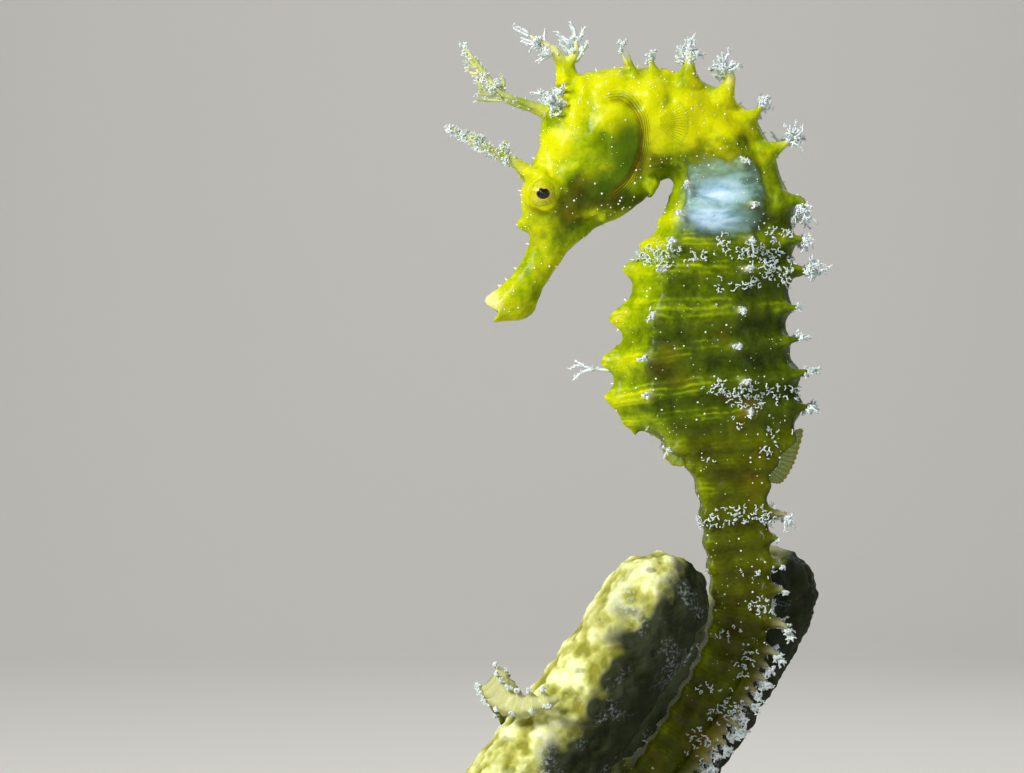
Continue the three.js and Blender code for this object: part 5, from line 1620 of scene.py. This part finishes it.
def pale_cirri(tree, colours):
    """Cirri overgrown with fine white algae: bluish white, matt, and a little see-through."""
    place_at = node(tree, "TexCoord", output="Object")
    cloud = node(tree, "TexNoise", {"Vector": place_at, "Scale": per_mm(0.7), "Detail": 3})
    share = node(tree, "MapRange", (cloud, 0.32, 0.5, 0.35))
    colour = node(tree, inputs={0: share, 6: colours["teal"], 7: colours["cirri"]}, **MIX)
    return node(tree, "BsdfPrincipled", {
        "Base Color": colour, "Roughness": 0.6, "IOR": 1.36, "Subsurface Weight": 0.25,
        "Subsurface Radius": (1.0, 1.0, 0.9), "Subsurface Scale": 0.2 * MM})


def white_warts(tree, colours):
    """Tiny raised warts without pigment: chalky white, wet."""
    return node(tree, "BsdfPrincipled", {
        "Base Color": colours["wart"], "Roughness": 0.4, "IOR": 1.4, "Coat Weight": 0.3})


def fin_membrane(tree, colours):
    """Clear membrane between bony rays: rays and margin hold an olive-brown tint, and the
    membrane lets light through."""
    ray, margin = (node(tree, "Attribute", output="Fac", attribute_name=name)
                   for name in ("ray", "margin"))
    dense = node(tree, "Math MAXIMUM", (ray, margin))
    tint = node(tree, TIMES, (margin, 0.35))
    colour = node(tree, inputs={0: tint, 6: colours["moss"], 7: colours["ochre"]}, **MIX)
    alpha = node(tree, "MapRange", (dense, 0, 1, 0.02, 0.85))
    return node(tree, "BsdfPrincipled", {
        "Base Color": colour, "Roughness": 0.35, "IOR": 1.4, "Alpha": alpha,
        "Specular IOR Level": 0.15, "Coat Weight": 0.2, "Coat Roughness": 0.2})


def yellow_sponge(tree, colours):
    """Living sponge: soft, matt and porous. Yellow on the knobs, olive in the hollows, dark in the pores,
    which is painted light and shade that follows the relief, with a bluish bloom in patches. Painted
    shadow, with some dark algae film, lies on the side away from the key light and over the rear branch."""
    place_at = node(tree, "TexCoord", output="Object")
    knob, pore, broad, shadowed = (node(tree, "Attribute", output="Fac", attribute_name=name)
                              for name in ("knob", "pore", "broad", "shadowed"))
    grit = node(tree, "TexNoise", {"Vector": place_at, "Scale": per_mm(0.35), "Detail": 4})
    bloom = node(tree, "TexNoise", {"Vector": place_at, "Scale": per_mm(5), "Detail": 5})
    bloom = node(tree, "MapRange", (bloom, 0.53, 0.7, 0, 0.45))
    speck = node(tree, "MapRange", (grit, 0.5, 0.64))
    # The knob and pore masks follow the relief: lighter knobs and darker hollows and pores are painted
    # light and shade. The dark film mixed in on the shadowed side is painted shadow with some algae.
    colour = colours["sponge_hollow"]
    for share, shade in ((node(tree, "MapRange", (knob, 0.3, 0.65)), "sponge"),
                         (node(tree, "MapRange", (knob, 0.5, 0.8, 0, 0.8)), "sponge_crest"),
                         (node(tree, TIMES, (pore, 0.45)), "sponge_pore"),
                         (node(tree, "MapRange", (broad, 0.45, 0.75, 0, 0.35)), "sponge_hollow"),
                         (node(tree, TIMES, (shadowed, 0.98)), "algae"),
                         (node(tree, TIMES, (bloom, speck)), "milk")):
        colour = node(tree, inputs={0: share, 6: colour, 7: colours[shade]}, **MIX)
    normal = node(tree, "Bump", {"Height": grit, "Distance": 0.12 * MM})
    return node(tree, "BsdfPrincipled", {
        "Base Color": colour, "Roughness": 0.78, "Normal": normal, "IOR": 1.35,
        "Specular IOR Level": 0.25, "Subsurface Weight": 0.08, "Subsurface Radius": (1.0, 0.8, 0.3),
        "Subsurface Scale": 0.5 * MM})


def oiled_walnut(tree, colours):
    """Turned walnut under oil: rings of growth cut lengthwise show as long wavy bands, with dark
    pores 0.35 mm wide along the grain."""
    place_at = node(tree, "TexCoord", output="Object")
    along = node(tree, "Mapping", {"Vector": place_at, "Scale": (0.12, 1.0, 1.0)})
    wobble = node(tree, "TexNoise", {"Vector": along, "Scale": per_mm(14), "Detail": 3})
    bands = node(tree, "TexWave", {"Vector": along, "Scale": per_mm(26), "Distortion": 7.0,
                                   "Detail": 3.0, "Detail Scale": 1.2},
                 output="Fac", bands_direction="Y")
    pores = node(tree, "TexNoise", {"Vector": along, "Scale": per_mm(0.35), "Detail": 2})
    colour = colours["walnut"]
    for values, shade in (((bands, 0.1, 0.9), "walnut_dark"),
                          ((wobble, 0.35, 0.65, 0, 0.5), "walnut_light"),
                          ((pores, 0.6, 0.66, 0, 0.55), "walnut_pore")):
        share = node(tree, "MapRange", values)
        colour = node(tree, inputs={0: share, 6: colour, 7: colours[shade]}, **MIX)
    normal = node(tree, "Bump", {"Height": pores, "Distance": 0.02 * MM, "Strength": 0.5})
    return node(tree, "BsdfPrincipled", {
        "Base Color": colour, "Roughness": 0.36, "Normal": normal, "IOR": 1.5,
        "Coat Weight": 0.25, "Coat Roughness": 0.25})


def brushed_steel_rod(tree, colours):
    """Stainless rod drawn lengthwise: fine upright scratches 0.05 mm apart, drawn 0.15 mm apart so
    that they show."""
    place_at = node(tree, "TexCoord", output="Object")
    along = node(tree, "Mapping", {"Vector": place_at, "Scale": (1.0, 1.0, 0.02)})
    scratch = node(tree, "TexNoise", {"Vector": along, "Scale": per_mm(0.15), "Detail": 2})
    rough = node(tree, "MapRange", (scratch, 0.3, 0.7, 0.2, 0.42))
    normal = node(tree, "Bump", {"Height": scratch, "Distance": 0.01 * MM, "Strength": 0.6})
    return node(tree, "BsdfPrincipled", {
        "Base Color": colours["steel"], "Metallic": 1.0, "Roughness": rough, "Normal": normal})


def studio_paper(tree, colours):
    """Matt backdrop paper: one pale flat tone."""
    return node(tree, "BsdfPrincipled", {"Base Color": colours["paper"], "Roughness": 0.9})


# -------------------------------- settings


# Colours in sRGB, and where each is seen.
SHADES = {
    "lemon": ("CACE00", "Head and neck"),
    "moss": ("8EA400", "Belly and flank"),
    "olive": ("4A5C00", "Tail"),
    "deep": ("243200", "Back and shaded folds"),
    "gill_green": ("3E6200", "Middle of the gill cover"),
    "teal": ("82AA98", "Round the flank patch"),
    "patch_blue": ("84B8DE", "Middle of the flank patch"),
    "ochre": ("A8780F", "Warm stains"),
    "cream": ("E4E2B0", "Lips and spine tips"),
    "milk": ("CFE0EE", "Flank patch and bloom"),
    "cirri": ("E6F0F2", "Tufts"),
    "wart": ("F0F2EA", "White warts"),
    "gold": ("D8A92A", "Ring round the pupil"),
    "pupil": ("050505", "Pupil"),
    "gullet": ("4A2A08", "Inside of the mouth"),
    "sponge": ("E6EA88", "Sponge"),
    # The sponge's knob, hollow and pore colours go with its relief: painted light on the knobs, painted
    # shade in the hollows and pores.
    "sponge_crest": ("FBFFDC", "Knobs of the sponge"),
    "sponge_hollow": ("8A8A30", "Hollows of the sponge"),
    "sponge_pore": ("35330F", "Pores of the sponge"),
    # Painted shadow, with some dark algae film, for the sponge's side away from the key light and for the
    # rear branch.
    "algae": ("1C2414", "Film on the sponge's lee side"),
    "walnut": ("6B4226", "Base"),
    "walnut_dark": ("3A2113", "Late wood of the base"),
    "walnut_light": ("845737", "Sapwood of the base"),
    "walnut_pore": ("1E110A", "Pores of the base"),
    "steel": ("B9BBBD", "Rods"),
    "paper": ("E6E4DF", "Backdrop"),
}


class SeahorseSizes(bpy.types.PropertyGroup):
    """Sizes that change the finish but not the solids."""

    skin_grain: bpy.props.FloatProperty(
        name="Skin grain", description="Side of the grid that fuses the skin",
        default=0.28 * MM, min=0.15 * MM, max=1.0 * MM, unit="LENGTH", precision=5)
    wart_radius: bpy.props.FloatProperty(
        name="Wart radius", description="Radius of a white wart", default=0.11 * MM,
        min=0.02 * MM, max=0.5 * MM, unit="LENGTH", precision=5)
    tuft_growth: bpy.props.FloatProperty(
        name="Tuft growth", description="Size of the tufts, 1 when full grown",
        default=1.0, min=0.0, max=1.2, subtype="FACTOR")
    camera_distance: bpy.props.FloatProperty(
        name="Camera distance", description="From the mid-plane to the camera",
        default=VIEW_DISTANCE * MM, min=0.1, max=5.0, unit="LENGTH")


def colour_property(name, hex_colour, use):
    """A colour setting with its default in linear light."""
    return bpy.props.FloatVectorProperty(
        name=name.replace("_", " ").capitalize(), description=use, subtype="COLOR", size=3, min=0,
        max=1, default=linear(hex_colour)[:3])


class SeahorseColours(bpy.types.PropertyGroup):
    """Colours of the skin, the sponge and the stand."""

    __annotations__ = {name: colour_property(name, *shade) for name, shade in SHADES.items()}


def chosen_colours(context):
    """The colours set in the scene, by name."""
    return {name: (*getattr(context.scene.seahorse_colours, name), 1.0) for name in SHADES}


# -------------------------------- operators

FLESH_NODES = ["snout", "lower_jaw", "head", "gill_cover_left", "gill_cover_right", "coronet", "neck",
               "trunk_upper", "trunk_lower", *(f"tail_{k}" for k in range(1, 7))]


class SEAHORSE_OT_skin(bpy.types.Operator):
    """Builds the one skin that covers all the flesh"""

    bl_idname = "seahorse.skin"
    bl_label = "Skin"

    def execute(self, context):
        mesh = build_skin(context)
        shown("skin", mesh, new_material(wet_seahorse_skin, context), "skin", *FLESH_NODES)
        return {"FINISHED"}


class SEAHORSE_OT_eyes(bpy.types.Operator):
    """Builds the two eyeballs"""

    bl_idname = "seahorse.eyes"
    bl_label = "Eyes"

    def execute(self, context):
        material = new_material(wet_golden_eye, context)
        for name, side in SIDES.items():
            mesh = eye_surface(side).mesh(f"eyeball_{name}")
            set_attributes(mesh, eye_masks(mesh))
            shown(mesh.name, mesh, material, "eye", f"eye_{name}")
        return {"FINISHED"}


class SEAHORSE_OT_filaments(bpy.types.Operator):
    """Builds the fleshy filaments of the brow and crown"""

    bl_idname = "seahorse.filaments"
    bl_label = "Filaments"

    def execute(self, context):
        material = new_material(filament_flesh, context)
        for filament, (stem, *_) in FILAMENTS.items():
            for name, side in SIDES.items():
                mesh = filament_surface(filament, side).mesh(f"{filament}_flesh_{name}")
                from_root = mesh_arrays(mesh)[0] - mirrored(stem[0][0], side)
                set_attributes(mesh, {"out": np.linalg.norm(from_root, axis=1)})
                shown(mesh.name, mesh, material, "filament", f"{filament}_{name}")
        return {"FINISHED"}


class SEAHORSE_OT_fins(bpy.types.Operator):
    """Builds the dorsal, anal and pectoral fins"""

    bl_idname = "seahorse.fins"
    bl_label = "Fins"

    def execute(self, context):
        material = new_material(fin_membrane, context)
        fins = {"dorsal_fin": fin_surface(DORSAL_ROOT, DORSAL_FIN, FIN_RAYS["dorsal"]),
                "anal_fin": fin_surface(ANAL_ROOT, ANAL_FIN, FIN_RAYS["anal"])}
        for _, masks in fins.values():
            masks["ray"] = MEMBRANE_TINT + (1 - MEMBRANE_TINT) * masks["ray"]
        for name, side in SIDES.items():
            surface, masks = pectoral_surface(side)
            clear = {mask: PECTORAL_CLEAR * values for mask, values in masks.items()}
            fins[f"pectoral_fin_{name}"] = surface, clear
        for name, (surface, masks) in fins.items():
            mesh = surface.mesh(name.replace("fin", "fin_rays"))
            set_attributes(mesh, masks)
            shown(mesh.name, mesh, material, "fin", name)
        return {"FINISHED"}


class SEAHORSE_OT_tufts(bpy.types.Operator):
    """Grows the branching tufts on the spines, the coronet and the filaments"""

    bl_idname = "seahorse.tufts"
    bl_label = "Tufts"

    def execute(self, context):
        material = new_material(pale_cirri, context)
        growth = context.scene.seahorse_sizes.tuft_growth
        for name, tufts, stem_count, extras in (
                ("head_tufts", head_tufts(), 7, (filament_crust, coronet_twigs)),
                ("spine_tufts", spine_tufts(), 9, (None,) * 4)):
            roots, aims, sizes, hangs, uvs = tufts
            parts = np.array_split(np.arange(len(roots)), len(extras))
            for k, (part, extra) in enumerate(zip(parts, extras)):
                surface = Surface()
                rng = np.random.default_rng(SEEDS[name] + k)
                tuft_surface(surface, roots[part], aims[part], sizes[part] * growth, hangs[part],
                             uvs[part], rng, stem_count)
                if extra:
                    extra(surface, rng)
                mesh = surface.mesh(f"{name}_{k + 1}")
                shown(mesh.name, mesh, material, "filament")
        for name, side in SIDES.items():
            mesh = build_cirri(SEEDS["cirri"], side).mesh(f"skin_cirri_{name}")
            shown(mesh.name, mesh, material, "filament")
        return {"FINISHED"}


class SEAHORSE_OT_warts(bpy.types.Operator):
    """Scatters the white warts over the skin"""

    bl_idname = "seahorse.warts"
    bl_label = "Warts"

    def execute(self, context):
        radius = context.scene.seahorse_sizes.wart_radius
        mesh = build_warts(radius, SEEDS["warts"]).mesh("white_warts")
        shown(mesh.name, mesh, new_material(white_warts, context), "skin")
        return {"FINISHED"}


class SEAHORSE_OT_sponge(bpy.types.Operator):
    """Builds the two branches of sponge"""

    bl_idname = "seahorse.sponge"
    bl_label = "Sponge"

    def execute(self, context):
        material = new_material(yellow_sponge, context)
        # The rear branch is painted in shadow all over below its top; the front one only on its side away
        # from the key light.
        for name, path, radius, painted_shadow in (("front", BRANCH_PATH, BRANCH_RADIUS, 0.0),
                                         ("rear", REAR_PATH, REAR_RADIUS, 1.0)):
            surface, masks = sponge_surface(path, radius, SEEDS[name], painted_shadow)
            mesh = surface.mesh(f"sponge_{name}_crust")
            set_attributes(mesh, {mask: np.append(values, [values.mean()] * 2)
                                  for mask, values in masks.items()})
            shown(mesh.name, mesh, material, "sponge", f"sponge_{name}_branch")
        return {"FINISHED"}


class SEAHORSE_OT_stand(bpy.types.Operator):
    """Builds the turned base and the two steel rods"""

    bl_idname = "seahorse.stand"
    bl_label = "Stand"

    def execute(self, context):
        base = lathe_surface(base_profile(), (0, 0), 240).mesh("turned_base")
        shown(base.name, base, new_material(oiled_walnut, context), "base_wood", "stand_base")
        steel = new_material(brushed_steel_rod, context)
        for name, (x, y, top) in RODS.items():
            mesh = lathe_surface(rod_profile(top), (x, y), 64).mesh(f"steel_rod_{name}")
            shown(mesh.name, mesh, steel, "rod_steel", f"stand_rod_{name}")
        return {"FINISHED"}


class SEAHORSE_OT_studio(bpy.types.Operator):
    """Sets up the backdrop, the lights and the camera"""

    bl_idname = "seahorse.studio"
    bl_label = "Studio"

    def execute(self, context):
        scene = context.scene
        build_backdrop(context)
        build_lights(scene)
        build_camera(scene, scene.seahorse_sizes.camera_distance / MM)
        return {"FINISHED"}


def build_backdrop(context):
    """A sweep of paper: a floor that turns up through a quarter circle into a wall, in mm."""
    turn = np.linspace(0, np.pi / 2, 24)
    near, far, bend, wide, tall = -2200, 500, 400, 2600, 2200
    floor = np.stack([np.linspace(near, far, 12)[:-1], np.zeros(11)], -1)
    sweep = np.stack([far + bend * np.sin(turn), bend - bend * np.cos(turn)], -1)
    wall = np.stack([np.full(6, far + bend), np.linspace(bend, tall, 7)[1:]], -1)
    profile = np.vstack([floor, sweep, wall])
    x = np.linspace(-wide, wide, 5)
    points = np.stack(np.broadcast_arrays(x[:, None], profile[:, 0], profile[:, 1]), -1)
    i = np.arange(len(x) - 1)[:, None] * len(profile)
    j = np.arange(len(profile) - 1)
    quads = np.stack([i + j, i + j + len(profile), i + j + len(profile) + 1, i + j + 1], -1)
    surface = Surface()
    surface.add(points, quads)
    mesh = surface.mesh("paper_sweep")
    mesh.materials.append(new_material(studio_paper, context))
    linked("paper_sweep", mesh)


def build_lights(scene):
    """Three soft boxes round the seahorse, one on the backdrop, and an even pale sky."""
    for name, place_at, aim, size, power, colour in LIGHTS:
        light = bpy.data.lights.new(name, "AREA")
        light.shape = "DISK"
        light.size = size * MM
        light.energy = power
        light.color = colour
        lamp = linked(name, light)
        lamp.location = Vector(place_at) * MM
        lamp.rotation_euler = (Vector(aim) - Vector(place_at)).to_track_quat("-Z", "Y").to_euler()
    world = bpy.data.worlds.new("pale_sky")
    scene.world = world
    world.use_nodes = True
    sky = world.node_tree.nodes["Background"]
    sky.inputs["Color"].default_value = (0.95, 0.97, 1.0, 1.0)
    sky.inputs["Strength"].default_value = 0.2
    scene.view_settings.view_transform = "Standard"


def build_camera(scene, distance):
    """A level camera square to the seahorse's side, its lens set to the width of the view."""
    camera = bpy.data.cameras.new("camera")
    camera.sensor_width = SENSOR
    camera.lens = SENSOR * distance / VIEW_WIDTH
    camera.clip_start = 0.01
    camera.clip_end = 20
    holder = linked("camera", camera)
    holder.location = Vector((VIEW_CENTRE[0], -distance, VIEW_CENTRE[1])) * MM
    holder.rotation_euler = (math.pi / 2, 0, 0)
    scene.camera = holder


OPERATORS = [SEAHORSE_OT_studio, SEAHORSE_OT_skin, SEAHORSE_OT_eyes, SEAHORSE_OT_filaments,
             SEAHORSE_OT_fins, SEAHORSE_OT_tufts, SEAHORSE_OT_warts, SEAHORSE_OT_sponge,
             SEAHORSE_OT_stand]


class SEAHORSE_PT_panel(bpy.types.Panel):
    """Lists the pieces, sizes and colours"""

    bl_idname = "SEAHORSE_PT_panel"
    bl_label = "Seahorse"
    bl_space_type = "VIEW_3D"
    bl_region_type = "UI"
    bl_category = "Seahorse"

    def draw(self, context):
        layout = self.layout
        for operator in OPERATORS:
            layout.operator(operator.bl_idname)
        for settings in (context.scene.seahorse_sizes, context.scene.seahorse_colours):
            box = layout.box()
            for name in settings.bl_rna.properties.keys():
                if name not in {"rna_type", "name"}:
                    box.prop(settings, name)


CLASSES = [SeahorseSizes, SeahorseColours, *OPERATORS, SEAHORSE_PT_panel]


def register():
    """Registers the settings, operators and panel."""
    for cls in CLASSES:
        bpy.utils.register_class(cls)
    bpy.types.Scene.seahorse_sizes = bpy.props.PointerProperty(type=SeahorseSizes)
    bpy.types.Scene.seahorse_colours = bpy.props.PointerProperty(type=SeahorseColours)


def unregister():
    """Removes them again."""
    del bpy.types.Scene.seahorse_colours
    del bpy.types.Scene.seahorse_sizes
    for cls in reversed(CLASSES):
        bpy.utils.unregister_class(cls)


def main():
    """Registers the classes and builds every piece in order."""
    register()
    for operator in OPERATORS:
        group, name = operator.bl_idname.split(".")
        getattr(getattr(bpy.ops, group), name)()


if __name__ == "__main__":
    main()
